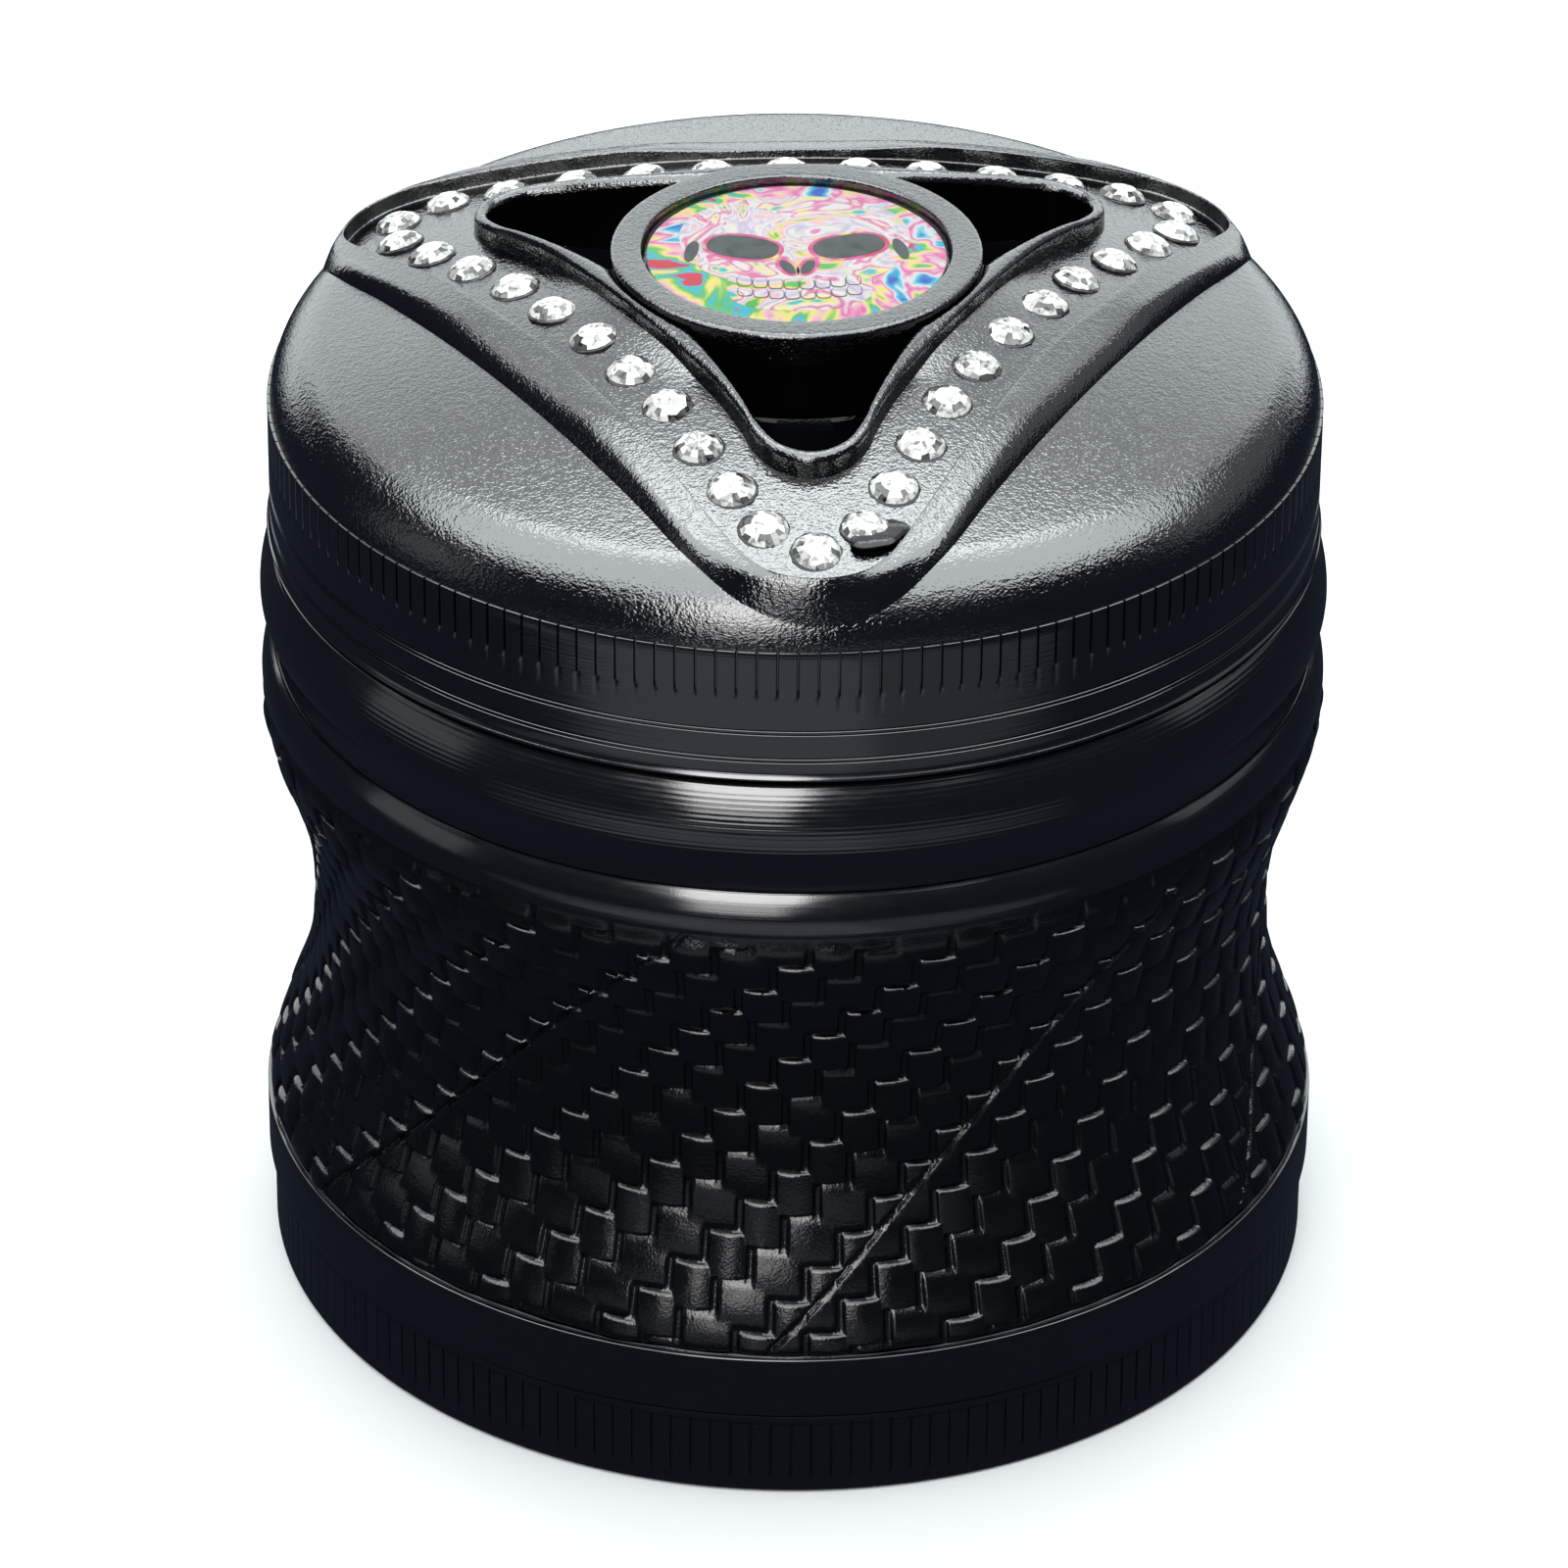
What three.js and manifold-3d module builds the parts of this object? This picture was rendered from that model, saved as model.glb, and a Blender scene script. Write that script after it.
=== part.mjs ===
// Four-piece metal herb grinder: lid, grinding chamber, waisted drum with a leather wrap, and base cup.
// Millimetres, +Z up. The origin is the centre of the base cup's underside, and the axis of every
// turned part is the Z axis. One arm of the lid's three-armed frame points along -Y.
import * as THREE from "three";
import { mergeVertices } from "three/addons/utils/BufferGeometryUtils.js";
import Module from "manifold-3d";

const wasm = await Module();
wasm.setup();

// ---------------------------------------------------------------- driving dimensions
const LID_RADIUS = 31.5;
const BASE_RADIUS = 32.15;
const FLANGE_RADIUS = 32.5; // plain flange at the foot of the drum
const BULGE_RADIUS = 32.2; // widest part of the grinding chamber
const SEAM_RADIUS = 31.4; // where chamber and drum meet
const SEAM_GAP = 0.15; // visible line between two screwed pieces

const BASE_TOP = 5.67; // seam between base cup and drum
const DRUM_TOP = 41.82; // seam between drum and chamber
const CHAMBER_TOP = 49.3; // seam between chamber and lid
const KNURL_TOP = 57.9; // upper edge of the lid's straight skirt
const RING_TOP = 67.3; // highest point: the flat ring on the lid

const BASE_FLOOR = 1.3;
const THREAD_GAP = 0.35; // radial clearance between male and female thread collars
const BASE_BORE = 29.9; // female thread in the base cup
const DRUM_BORE = 29.3; // female thread in the top of the drum
const STORE_RADIUS = 26.4; // herb store inside the drum
const STORE_TOP = 36.2;
const STORE_FLOOR = 11.5; // the store's wall slopes in below this height
const LEDGE_RADIUS = 25.6; // opening of the ledge above the screen
const LEDGE_TOP = 10.4;
const SCREEN_SEAT = 9.0; // underside of the ledge that the screen rests against
const SCREEN_RADIUS = 27.7;
const SCREEN_THICKNESS = 0.4;
const SCREEN_FIT = 0.2; // clearance round the screen
const RETAINER_BORE = 25.9; // ring under the screen
const RETAINER_HEIGHT = 1.4;
const CHAMBER_COLLAR_BORE = 27.0; // inside of the chamber's threaded collar
const EDGE = 0.2; // chamfer on the visible edges

const LEATHER_BOTTOM = 9.95;
const LEATHER_TOP = 39.55;
const LEATHER_THICKNESS = 0.9;
const WAIST_Z = 23.5; // narrowest place of the drum
const WAIST_RADIUS = 29.28;
const UPPER_FLARE = 2.94; // growth in radius from the waist to the bead
const UPPER_FLARE_LENGTH = 15.3;
const LOWER_FLARE = 3.2; // growth in radius from the waist to the flange
const LOWER_FLARE_LENGTH = 15;

const PLATE_BOTTOM = 47.6; // grinding plate with the drop holes
const PLATE_TOP = 50.0;
const COLLAR_TOP = 58.6; // chamber wall inside the lid
const COLLAR_RADIUS = 28.3;
const GRIND_RADIUS = 26.7;
const POST_RADIUS = 6.0; // centre posts that hold the magnets
const MAGNET_RADIUS = 4.5;
const MAGNET_HEIGHT = 2.0;
const MAGNET_FIT = 0.1;
const CHAMBER_POST_TOP = 57.6;
const LID_POST_BOTTOM = 58.2;
const LID_CEILING = 59.6;
const SKIRT_BORE = 29.7;
const TOOTH_LENGTH = 8.4;
const HOLE_RADIUS = 1.8;

const DOME_APEX = 65.3;
const DOME_CURVE = 231; // the dome falls by r * r / DOME_CURVE
const SHOULDER_RADIUS = 4.7;
const CREST_APEX = 67.2; // top of the frame's outer ridge, extended to the axis
const CHANNEL_DEPTH = 1.0; // from the ridge down to the floor that carries the stones
const INNER_RIDGE_DROP = 0.35; // the pocket rims are this much lower than the outer ridge
const FRAME_CURVE = 174.6; // the frame's surfaces fall by r * r / FRAME_CURVE
const POCKET_FLOOR = 61.6;
const RING_OUTER = 11.04;
const RING_INNER = 9.2;
const MEDALLION_SEAT = 66.1;
const STONE_RADIUS = 1.4;
const STONE_HEIGHT = 1.05;
const STONE_GLUE = 0.12; // glue layer under each stone

const ARMS = 3;
const TURN = 2 * Math.PI;
const ROUND = 40; // flats round the large turned parts
const SMALL_ROUND = 32; // flats round the inner rings and discs
const LID_ROUND = 60;

// ---------------------------------------------------------------- materials
const finish = (color, roughness, metalness) =>
  new THREE.MeshStandardMaterial({ color, roughness, metalness });
const castBlack = finish(0x17191c, 0.42, 0.35);
const anodisedBlack = finish(0x0b0c0f, 0.3, 0.6);
const leatherBlack = finish(0x0d0d0f, 0.38, 0.0);
const crystal = finish(0xe6e8ec, 0.08, 0.1);
const medallionPrint = finish(0xd9b8d0, 0.35, 0.0);
const clearResin = finish(0xf2f4f6, 0.05, 0.0);
const magnetNickel = finish(0xb9bbbd, 0.25, 1.0);
const nylonWhite = finish(0xdedcd4, 0.5, 0.0);
const stainless = finish(0xa8abad, 0.3, 1.0);

// ---------------------------------------------------------------- solids
function toSolid(geometry) {
  geometry.deleteAttribute("normal");
  geometry.deleteAttribute("uv");
  const merged = mergeVertices(geometry, 1e-4);
  const vertProperties = new Float32Array(merged.attributes.position.array);
  const triVerts = new Uint32Array(merged.index.array);
  return new wasm.Manifold(new wasm.Mesh({ numProp: 3, vertProperties, triVerts }));
}

function toGeometry(solid) {
  const mesh = solid.getMesh();
  const geometry = new THREE.BufferGeometry();
  geometry.setAttribute("position", new THREE.BufferAttribute(mesh.vertProperties, 3));
  geometry.setIndex(new THREE.BufferAttribute(mesh.triVerts, 1));
  geometry.computeVertexNormals();
  return geometry;
}

// A turned solid about Z. The profile is a list of [radius, z] running counter-clockwise, that is
// outward along the bottom, up the outside and back along the top.
function turned(profile, segments = ROUND) {
  const points = profile.map(([radius, z]) => new THREE.Vector2(radius, z));
  if (points[0].x > 0) {
    points.push(points[0].clone());
  }
  const geometry = new THREE.LatheGeometry(points, segments);
  geometry.rotateX(Math.PI / 2);
  return geometry;
}

// Points of a circular arc in a profile, angles in degrees from the outward direction.
function arc(centerR, centerZ, radius, fromDegrees, toDegrees, steps) {
  const points = [];
  for (let i = 0; i <= steps; i++) {
    const angle = THREE.MathUtils.degToRad(fromDegrees + ((toDegrees - fromDegrees) * i) / steps);
    points.push([centerR + radius * Math.cos(angle), centerZ + radius * Math.sin(angle)]);
  }
  return points;
}

// A V groove cut into a vertical wall, listed upward.
function groove(radius, z, depth, halfWidth) {
  return [[radius, z - halfWidth], [radius - depth, z], [radius, z + halfWidth]];
}

function cylinder(radius, bottom, top, segments) {
  return turned([[0, bottom], [radius, bottom], [radius, top], [0, top]], segments);
}

// Stacks closed rings of points (arrays of Vector3, same length, counter-clockwise seen from above,
// listed from bottom to top) into one solid with a flat-fanned bottom and top.
function stackedRings(rings) {
  const count = rings[0].length;
  const positions = [];
  const index = [];
  const centre = (ring) => ring.reduce((sum, p) => sum.add(p), new THREE.Vector3()).divideScalar(count);
  for (const ring of rings) {
    ring.forEach((p) => positions.push(p.x, p.y, p.z));
  }
  for (let level = 0; level + 1 < rings.length; level++) {
    for (let i = 0; i < count; i++) {
      const j = (i + 1) % count;
      const low = level * count;
      const high = low + count;
      index.push(low + i, low + j, high + j, low + i, high + j, high + i);
    }
  }
  const bottomCentre = rings.length * count;
  positions.push(...centre(rings[0]).toArray(), ...centre(rings[rings.length - 1]).toArray());
  const topStart = (rings.length - 1) * count;
  for (let i = 0; i < count; i++) {
    const j = (i + 1) % count;
    index.push(bottomCentre, j, i, bottomCentre + 1, topStart + i, topStart + j);
  }
  const geometry = new THREE.BufferGeometry();
  geometry.setAttribute("position", new THREE.Float32BufferAttribute(positions, 3));
  geometry.setIndex(index);
  return geometry;
}

// ---------------------------------------------------------------- the lid's three-armed frame
// A closed outline with threefold and mirror symmetry. Points are [along the arm, across it] from the
// arm's tip to the middle of a side; a point on the arm's own axis is given with 0 across.
function threefoldOutline(halfArm) {
  const onAxis = (p) => p[1] === 0;
  const midSide = halfArm[halfArm.length - 1];
  const offAxis = halfArm.filter((p) => !onAxis(p) && p !== midSide);
  const mirrored = offAxis.map(([along, across]) => [along, -across]);
  const oneArm = [...mirrored.reverse(), ...halfArm];
  const corners = [];
  for (let arm = 0; arm < ARMS; arm++) {
    const tip = new THREE.Vector2(0, 0);
    const angle = -Math.PI / 2 + (arm * TURN) / ARMS;
    oneArm.forEach(([along, across]) => {
      corners.push(new THREE.Vector2(along, across).rotateAround(tip, angle));
    });
  }
  const points = corners.map((corner) => new THREE.Vector3(corner.x, corner.y, 0));
  const curve = new THREE.CatmullRomCurve3(points, true, "centripetal");
  const samples = corners.length * STEPS_BETWEEN_POINTS;
  return curve.getPoints(samples).slice(0, samples);
}

// A point given by its distance from the centre towards the middle of a side, and its place along that side.
function sidePoint(distance, place) {
  const cos = Math.cos(Math.PI / ARMS);
  const sin = Math.sin(Math.PI / ARMS);
  return [distance * cos + place * sin, distance * sin - place * cos];
}

const domeHeight = (radius) => DOME_APEX - (radius * radius) / DOME_CURVE;
const frameHeight = (apex, radius) => apex - (radius * radius) / FRAME_CURVE;

function ringAt(outline, heightOf, scale = 1) {
  return outline.map((p) => {
    const radius = Math.hypot(p.x, p.y) * scale;
    return new THREE.Vector3(p.x * scale, p.y * scale, heightOf(radius));
  });
}

const STEPS_BETWEEN_POINTS = 2;
const SHARES = [0.36, 0.6, 0.8, 1]; // rings of points between the centre and an outline
// Foot of the flanks on the dome: straight sides with well-rounded tips.
const FOOT = [
  [31.0, 0], [30.0, 4.3],
  sidePoint(19.9, 20.5), sidePoint(20, 14), sidePoint(20, 7), sidePoint(20, 0),
];
// Crest of the outer ridge: the sides curve in towards the centre.
const CREST = [
  [30.2, 0], [28.9, 4.2],
  sidePoint(19.1, 18.5), sidePoint(18.1, 13), sidePoint(16.9, 7), sidePoint(16.3, 0),
];
// Outer and inner edges of the channel that holds the stones.
const CHANNEL_OUTER = [
  [28.9, 0], [28.0, 2.8], [25.2, 5.2],
  sidePoint(17.0, 16), sidePoint(16.1, 9), sidePoint(15.6, 0),
];
const CHANNEL_INNER = [
  [21.5, 0], [20.7, 2.3],
  sidePoint(12.5, 12.5), sidePoint(12.2, 7), sidePoint(11.9, 0),
];
// Triangular pocket outline; the ring in the middle divides it into three pockets.
const POCKET = [[20.3, 0], [19.5, 1.9], sidePoint(11.3, 11.5), sidePoint(11.2, 6), sidePoint(11.1, 0)];

function frameBody() {
  const foot = threefoldOutline(FOOT);
  const crest = threefoldOutline(CREST);
  const crestHeight = (radius) => frameHeight(CREST_APEX, radius);
  const low = ringAt(foot, () => LID_CEILING + 0.6);
  // Near the lid's edge the dome falls steeply, so the frame's foot follows the shoulder down there.
  const shoulderHeight = (radius) => KNURL_TOP + 0.9 + (LID_RADIUS - radius) * 2.2;
  const onDome = ringAt(foot, (radius) => Math.min(domeHeight(radius), shoulderHeight(radius)));
  const top = [...SHARES].reverse().map((share) => ringAt(crest, crestHeight, share));
  return toSolid(stackedRings([low, onDome, ...top]));
}

function channelCut() {
  const floor = (radius) => frameHeight(CREST_APEX - CHANNEL_DEPTH, radius);
  const outer = threefoldOutline(CHANNEL_OUTER);
  const inner = threefoldOutline(CHANNEL_INNER);
  const rings = SHARES.map((share) => ringAt(outer, floor, share));
  const open = toSolid(stackedRings([...rings, ringAt(outer, () => RING_TOP + 3)]));
  const core = toSolid(stackedRings([ringAt(inner, () => POCKET_FLOOR), ringAt(inner, () => RING_TOP + 4)]));
  return open.subtract(core);
}

// Trims the rims of the pockets a little below the outer ridge.
function innerRidgeTrim() {
  const height = (radius) => frameHeight(CREST_APEX - INNER_RIDGE_DROP, radius);
  const outline = threefoldOutline(CHANNEL_OUTER);
  const rings = SHARES.map((share) => ringAt(outline, height, 0.97 * share));
  return toSolid(stackedRings([...rings, ringAt(outline, () => RING_TOP + 3, 0.97)]));
}

function pocketCut() {
  const outline = threefoldOutline(POCKET);
  const floor = ringAt(outline, () => POCKET_FLOOR);
  return toSolid(stackedRings([floor, ringAt(outline, () => RING_TOP + 3)]));
}

// Diamond-section teeth in one circle, pointed at the free end.
function teeth(count, radius, root, tip, phase) {
  const HALF_RADIAL = 1.45;
  const HALF_TANGENT = 1.9;
  const POINT = 0.9;
  const sign = Math.sign(tip - root);
  const ROOT_OVERLAP = 0.5; // how far a tooth is let into the plate it stands on
  const diamond = [[1, 0], [0, 1], [-1, 0], [0, -1]];
  const section = (scale, z) =>
    diamond.map(([x, y]) => new THREE.Vector3(x * HALF_RADIAL * scale, y * HALF_TANGENT * scale, z));
  const levels = [section(1, root - sign * ROOT_OVERLAP), section(1, tip - sign * POINT), section(0.35, tip)];
  const upward = sign > 0 ? levels : levels.reverse();
  const solids = [];
  for (let i = 0; i < count; i++) {
    const tooth = stackedRings(upward);
    tooth.translate(radius, 0, 0);
    tooth.rotateZ(((i + phase) * TURN) / count);
    solids.push(toSolid(tooth));
  }
  return solids;
}

const LID_TEETH = [[7, 10.4, 0], [14, 19.05, 0.5]];
const CHAMBER_TEETH = [[10, 14.7, 0], [17, 23.4, 0]];

function lidCasting() {
  const shoulderCentre = LID_RADIUS - SHOULDER_RADIUS;
  const crown = [24, 19, 12].map((radius) => [radius, domeHeight(radius)]);
  const shell = turned([
    [0, LID_POST_BOTTOM + MAGNET_HEIGHT + MAGNET_FIT],
    [MAGNET_RADIUS + MAGNET_FIT, LID_POST_BOTTOM + MAGNET_HEIGHT + MAGNET_FIT],
    [MAGNET_RADIUS + MAGNET_FIT, LID_POST_BOTTOM],
    [POST_RADIUS, LID_POST_BOTTOM],
    [POST_RADIUS, LID_CEILING],
    [SKIRT_BORE, LID_CEILING],
    [SKIRT_BORE, CHAMBER_TOP + SEAM_GAP],
    [LID_RADIUS + 0.15, CHAMBER_TOP + SEAM_GAP],
    [LID_RADIUS + 0.15, CHAMBER_TOP + 0.45],
    [LID_RADIUS, CHAMBER_TOP + 0.6],
    ...groove(LID_RADIUS, 50.95, 0.25, 0.3),
    ...groove(LID_RADIUS, 52.6, 0.25, 0.3),
    [LID_RADIUS, KNURL_TOP],
    ...arc(shoulderCentre - 0.15, KNURL_TOP - 0.6, SHOULDER_RADIUS, 8, 76, 5),
    ...crown,
    [0, DOME_APEX],
  ], LID_ROUND);
  let solid = toSolid(shell).add(frameBody());
  solid = solid.subtract(innerRidgeTrim()).subtract(channelCut()).subtract(pocketCut());
  const ring = toSolid(cylinder(RING_OUTER, LID_CEILING + 0.6, RING_TOP, ROUND));
  const recess = toSolid(cylinder(RING_INNER, MEDALLION_SEAT, RING_TOP + 1, ROUND));
  solid = solid.add(ring).subtract(recess);
  LID_TEETH.forEach(([count, radius, phase]) => {
    teeth(count, radius, LID_CEILING, LID_CEILING - TOOTH_LENGTH, phase).forEach((tooth) => {
      solid = solid.add(tooth);
    });
  });
  return toGeometry(solid);
}

// ---------------------------------------------------------------- lower pieces
function grindingChamber() {
  const seam = DRUM_TOP + SEAM_GAP;
  const threadRadius = DRUM_BORE - THREAD_GAP;
  let solid = toSolid(turned([
    [0, PLATE_BOTTOM],
    [CHAMBER_COLLAR_BORE, PLATE_BOTTOM],
    [CHAMBER_COLLAR_BORE, STORE_TOP + 0.5],
    [threadRadius - 0.4, STORE_TOP + 0.5],
    [threadRadius, STORE_TOP + 0.9],
    [threadRadius, seam],
    [SEAM_RADIUS - EDGE, seam],
    [SEAM_RADIUS, seam + EDGE],
    [SEAM_RADIUS, seam + 0.9],
    [SEAM_RADIUS + 0.15, seam + 1.7],
    [SEAM_RADIUS + 0.5, seam + 2.5],
    [BULGE_RADIUS - 0.15, seam + 2.95],
    ...arc(BULGE_RADIUS - 11, 46.0, 11, -3, 15, 3),
    [LID_RADIUS + 0.1, CHAMBER_TOP],
    [COLLAR_RADIUS, CHAMBER_TOP],
    [COLLAR_RADIUS, COLLAR_TOP - 0.3],
    [COLLAR_RADIUS - 0.3, COLLAR_TOP],
    [GRIND_RADIUS, COLLAR_TOP],
    [GRIND_RADIUS, PLATE_TOP],
    [POST_RADIUS, PLATE_TOP],
    [POST_RADIUS, CHAMBER_POST_TOP],
    [MAGNET_RADIUS + MAGNET_FIT, CHAMBER_POST_TOP],
    [MAGNET_RADIUS + MAGNET_FIT, CHAMBER_POST_TOP - MAGNET_HEIGHT - MAGNET_FIT],
    [0, CHAMBER_POST_TOP - MAGNET_HEIGHT - MAGNET_FIT],
  ]));
  CHAMBER_TEETH.forEach(([count, radius, phase]) => {
    teeth(count, radius, PLATE_TOP, PLATE_TOP + TOOTH_LENGTH, phase).forEach((tooth) => {
      solid = solid.add(tooth);
    });
  });
  dropHoles().forEach((hole) => {
    solid = solid.subtract(hole);
  });
  return toGeometry(solid);
}

// Drop holes stand between the circles of chamber teeth, under the paths of the lid's teeth.
function dropHoles() {
  const holes = [];
  LID_TEETH.forEach(([, radius], circle) => {
    const count = circle === 0 ? 9 : 18;
    for (let i = 0; i < count; i++) {
      const hole = cylinder(HOLE_RADIUS, PLATE_BOTTOM - 1, PLATE_TOP + 1, 8);
      const angle = ((i + 0.5) * TURN) / count;
      hole.translate(radius * Math.cos(angle), radius * Math.sin(angle), 0);
      holes.push(toSolid(hole));
    }
  });
  return holes;
}

// Outer radius of the leather: an hourglass that swells to the bead above and to the flange below.
function leatherRadius(z) {
  const upper = z > WAIST_Z;
  const reach = Math.min(Math.abs(z - WAIST_Z) / (upper ? UPPER_FLARE_LENGTH : LOWER_FLARE_LENGTH), 1);
  const swell = Math.sin((Math.PI / 2) * Math.pow(reach, upper ? 1.4 : 1.3)) ** 2;
  return WAIST_RADIUS + swell * (upper ? UPPER_FLARE : LOWER_FLARE);
}

function waistProfile(inset, steps) {
  const points = [];
  for (let i = 0; i <= steps; i++) {
    const z = LEATHER_BOTTOM + ((LEATHER_TOP - LEATHER_BOTTOM) * i) / steps;
    points.push([leatherRadius(z) - inset, z]);
  }
  return points;
}

function drumBody() {
  const threadRadius = BASE_BORE - THREAD_GAP;
  const flangeTop = LEATHER_BOTTOM - 0.1;
  const WAIST_STEPS = 7;
  const waist = waistProfile(LEATHER_THICKNESS + 0.1, WAIST_STEPS);
  return turned([
    [SCREEN_RADIUS + SCREEN_FIT, BASE_FLOOR + 0.3],
    [threadRadius - 0.3, BASE_FLOOR + 0.3],
    [threadRadius, BASE_FLOOR + 0.6],
    [threadRadius, BASE_TOP + 0.1],
    [FLANGE_RADIUS - 0.25, BASE_TOP + 0.1],
    [FLANGE_RADIUS, BASE_TOP + 0.35],
    [FLANGE_RADIUS, flangeTop - 0.15],
    [FLANGE_RADIUS - 0.15, flangeTop],
    [waist[0][0], flangeTop],
    ...waist,
    [waist[WAIST_STEPS][0], LEATHER_TOP + 0.1],
    [BULGE_RADIUS - 0.1, LEATHER_TOP + 0.1],
    ...arc(BULGE_RADIUS - 1.7, 40.15, 1.7, 0, 78, 4),
    [DRUM_BORE + 0.3, DRUM_TOP],
    [DRUM_BORE, DRUM_TOP - 0.3],
    [DRUM_BORE, STORE_TOP],
    [STORE_RADIUS, STORE_TOP],
    [STORE_RADIUS, STORE_FLOOR],
    [LEDGE_RADIUS, LEDGE_TOP],
    [LEDGE_RADIUS, SCREEN_SEAT],
    [SCREEN_RADIUS + SCREEN_FIT, SCREEN_SEAT],
  ]);
}

function leatherWrap() {
  const steps = 7;
  const outer = waistProfile(0, steps);
  const inner = waistProfile(LEATHER_THICKNESS, steps).reverse();
  return turned([...outer, ...inner]);
}

function pollenScreen() {
  const top = SCREEN_SEAT - 0.1;
  return cylinder(SCREEN_RADIUS, top - SCREEN_THICKNESS, top, SMALL_ROUND);
}

function screenRing() {
  const top = SCREEN_SEAT - SCREEN_THICKNESS - SCREEN_FIT;
  const bottom = top - RETAINER_HEIGHT;
  return turned([
    [RETAINER_BORE, bottom],
    [SCREEN_RADIUS, bottom],
    [SCREEN_RADIUS, top],
    [RETAINER_BORE, top],
  ], SMALL_ROUND);
}

function baseCup() {
  const chamfer = 0.35;
  return turned([
    [0, 0],
    [BASE_RADIUS - chamfer, 0],
    [BASE_RADIUS, chamfer],
    [BASE_RADIUS, BASE_TOP - 0.3],
    [BASE_RADIUS - 0.2, BASE_TOP - 0.1],
    [BASE_BORE, BASE_TOP - 0.1],
    [BASE_BORE, BASE_FLOOR + 0.8],
    [BASE_BORE - 0.8, BASE_FLOOR],
    [0, BASE_FLOOR],
  ]);
}

function frictionRing() {
  const bottom = CHAMBER_TOP + 0.2;
  const height = 4.6;
  return turned([
    [COLLAR_RADIUS + 0.2, bottom],
    [SKIRT_BORE - 0.2, bottom],
    [SKIRT_BORE - 0.2, bottom + height],
    [COLLAR_RADIUS + 0.2, bottom + height],
  ]);
}

function magnet(bottom) {
  return cylinder(MAGNET_RADIUS, bottom, bottom + MAGNET_HEIGHT - MAGNET_FIT, 24);
}

// ---------------------------------------------------------------- medallion and stones
function medallionDisc() {
  return cylinder(RING_INNER - 0.25, MEDALLION_SEAT + 0.05, MEDALLION_SEAT + 0.3, ROUND);
}

function medallionDome() {
  const radius = RING_INNER - 0.3;
  const bottom = MEDALLION_SEAT + 0.35;
  const edge = 0.15;
  const rise = 0.4;
  const cap = [1, 0.7, 0.35].map((share) => [radius * share, bottom + edge + rise * (1 - share * share)]);
  return turned([[0, bottom], [radius, bottom], ...cap, [0, bottom + edge + rise]]);
}

// A flat-backed stone with eight crown facets and a flat table.
function stoneGeometry() {
  const ring = (radius, z) => {
    const points = [];
    for (let i = 0; i < 8; i++) {
      const angle = (i * TURN) / 8;
      points.push(new THREE.Vector3(radius * Math.cos(angle), radius * Math.sin(angle), z));
    }
    return points;
  };
  return stackedRings([ring(STONE_RADIUS, 0), ring(STONE_RADIUS * 0.6, STONE_HEIGHT)]);
}

// Places along half an arm: [along the arm, across it], from the tip stone to the middle of a side.
const STONE_PLACES = [
  [27.2, 0], [25.4, 2.9], [22.2, 4.65], [18.5, 6.4], [14.6, 8.1], [10.9, 10.1], [7.05, 12.2],
];

function stones() {
  const geometry = stoneGeometry();
  const meshes = [];
  const last = STONE_PLACES.length - 1;
  const halfTurn = STONE_PLACES.slice(1, last).map(([along, across]) => [along, -across]).reverse();
  const oneArm = [...halfTurn, ...STONE_PLACES];
  for (let arm = 0; arm < ARMS; arm++) {
    const armAngle = -Math.PI / 2 + (arm * TURN) / ARMS;
    oneArm.forEach(([along, across]) => {
      const place = new THREE.Vector2(along, across).rotateAround(new THREE.Vector2(0, 0), armAngle);
      const radius = place.length();
      const normal = new THREE.Vector3(place.x, place.y, FRAME_CURVE / 2).normalize();
      const floor = frameHeight(CREST_APEX - CHANNEL_DEPTH, radius);
      const stone = new THREE.Mesh(geometry, crystal);
      stone.name = `rhinestone_${String(meshes.length + 1).padStart(2, "0")}`;
      stone.position.set(place.x, place.y, floor).addScaledVector(normal, STONE_GLUE);
      stone.quaternion.setFromUnitVectors(new THREE.Vector3(0, 0, 1), normal);
      meshes.push(stone);
    });
  }
  return meshes;
}

// ---------------------------------------------------------------- assembly
function piece(name, geometry, material) {
  const mesh = new THREE.Mesh(geometry, material);
  mesh.name = name;
  return mesh;
}

const grinder = new THREE.Group();
grinder.add(
  piece("base_cup", baseCup(), anodisedBlack),
  piece("screen_retaining_ring", screenRing(), stainless),
  piece("pollen_screen", pollenScreen(), stainless),
  piece("drum_body", drumBody(), anodisedBlack),
  piece("leather_wrap", leatherWrap(), leatherBlack),
  piece("grinding_chamber", grindingChamber(), anodisedBlack),
  piece("chamber_magnet", magnet(CHAMBER_POST_TOP - MAGNET_HEIGHT), magnetNickel),
  piece("friction_ring", frictionRing(), nylonWhite),
  piece("lid_casting", lidCasting(), castBlack),
  piece("lid_magnet", magnet(LID_POST_BOTTOM + MAGNET_FIT), magnetNickel),
  piece("medallion_disc", medallionDisc(), medallionPrint),
  piece("medallion_dome", medallionDome(), clearResin),
  ...stones(),
);

export default grinder;
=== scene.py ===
"""Looks of a four-piece metal herb grinder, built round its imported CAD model.

Lengths of the pieces are in millimetres; Skin.build() turns them into Blender's metres. Lamps and camera
are in metres. Every ring of points round the axis runs counter-clockwise seen from above and starts at the
front, on the axis of the lid's front arm.
"""
import math
import random

import bpy
import numpy as np
from mathutils import Matrix, Quaternion, Vector

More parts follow.
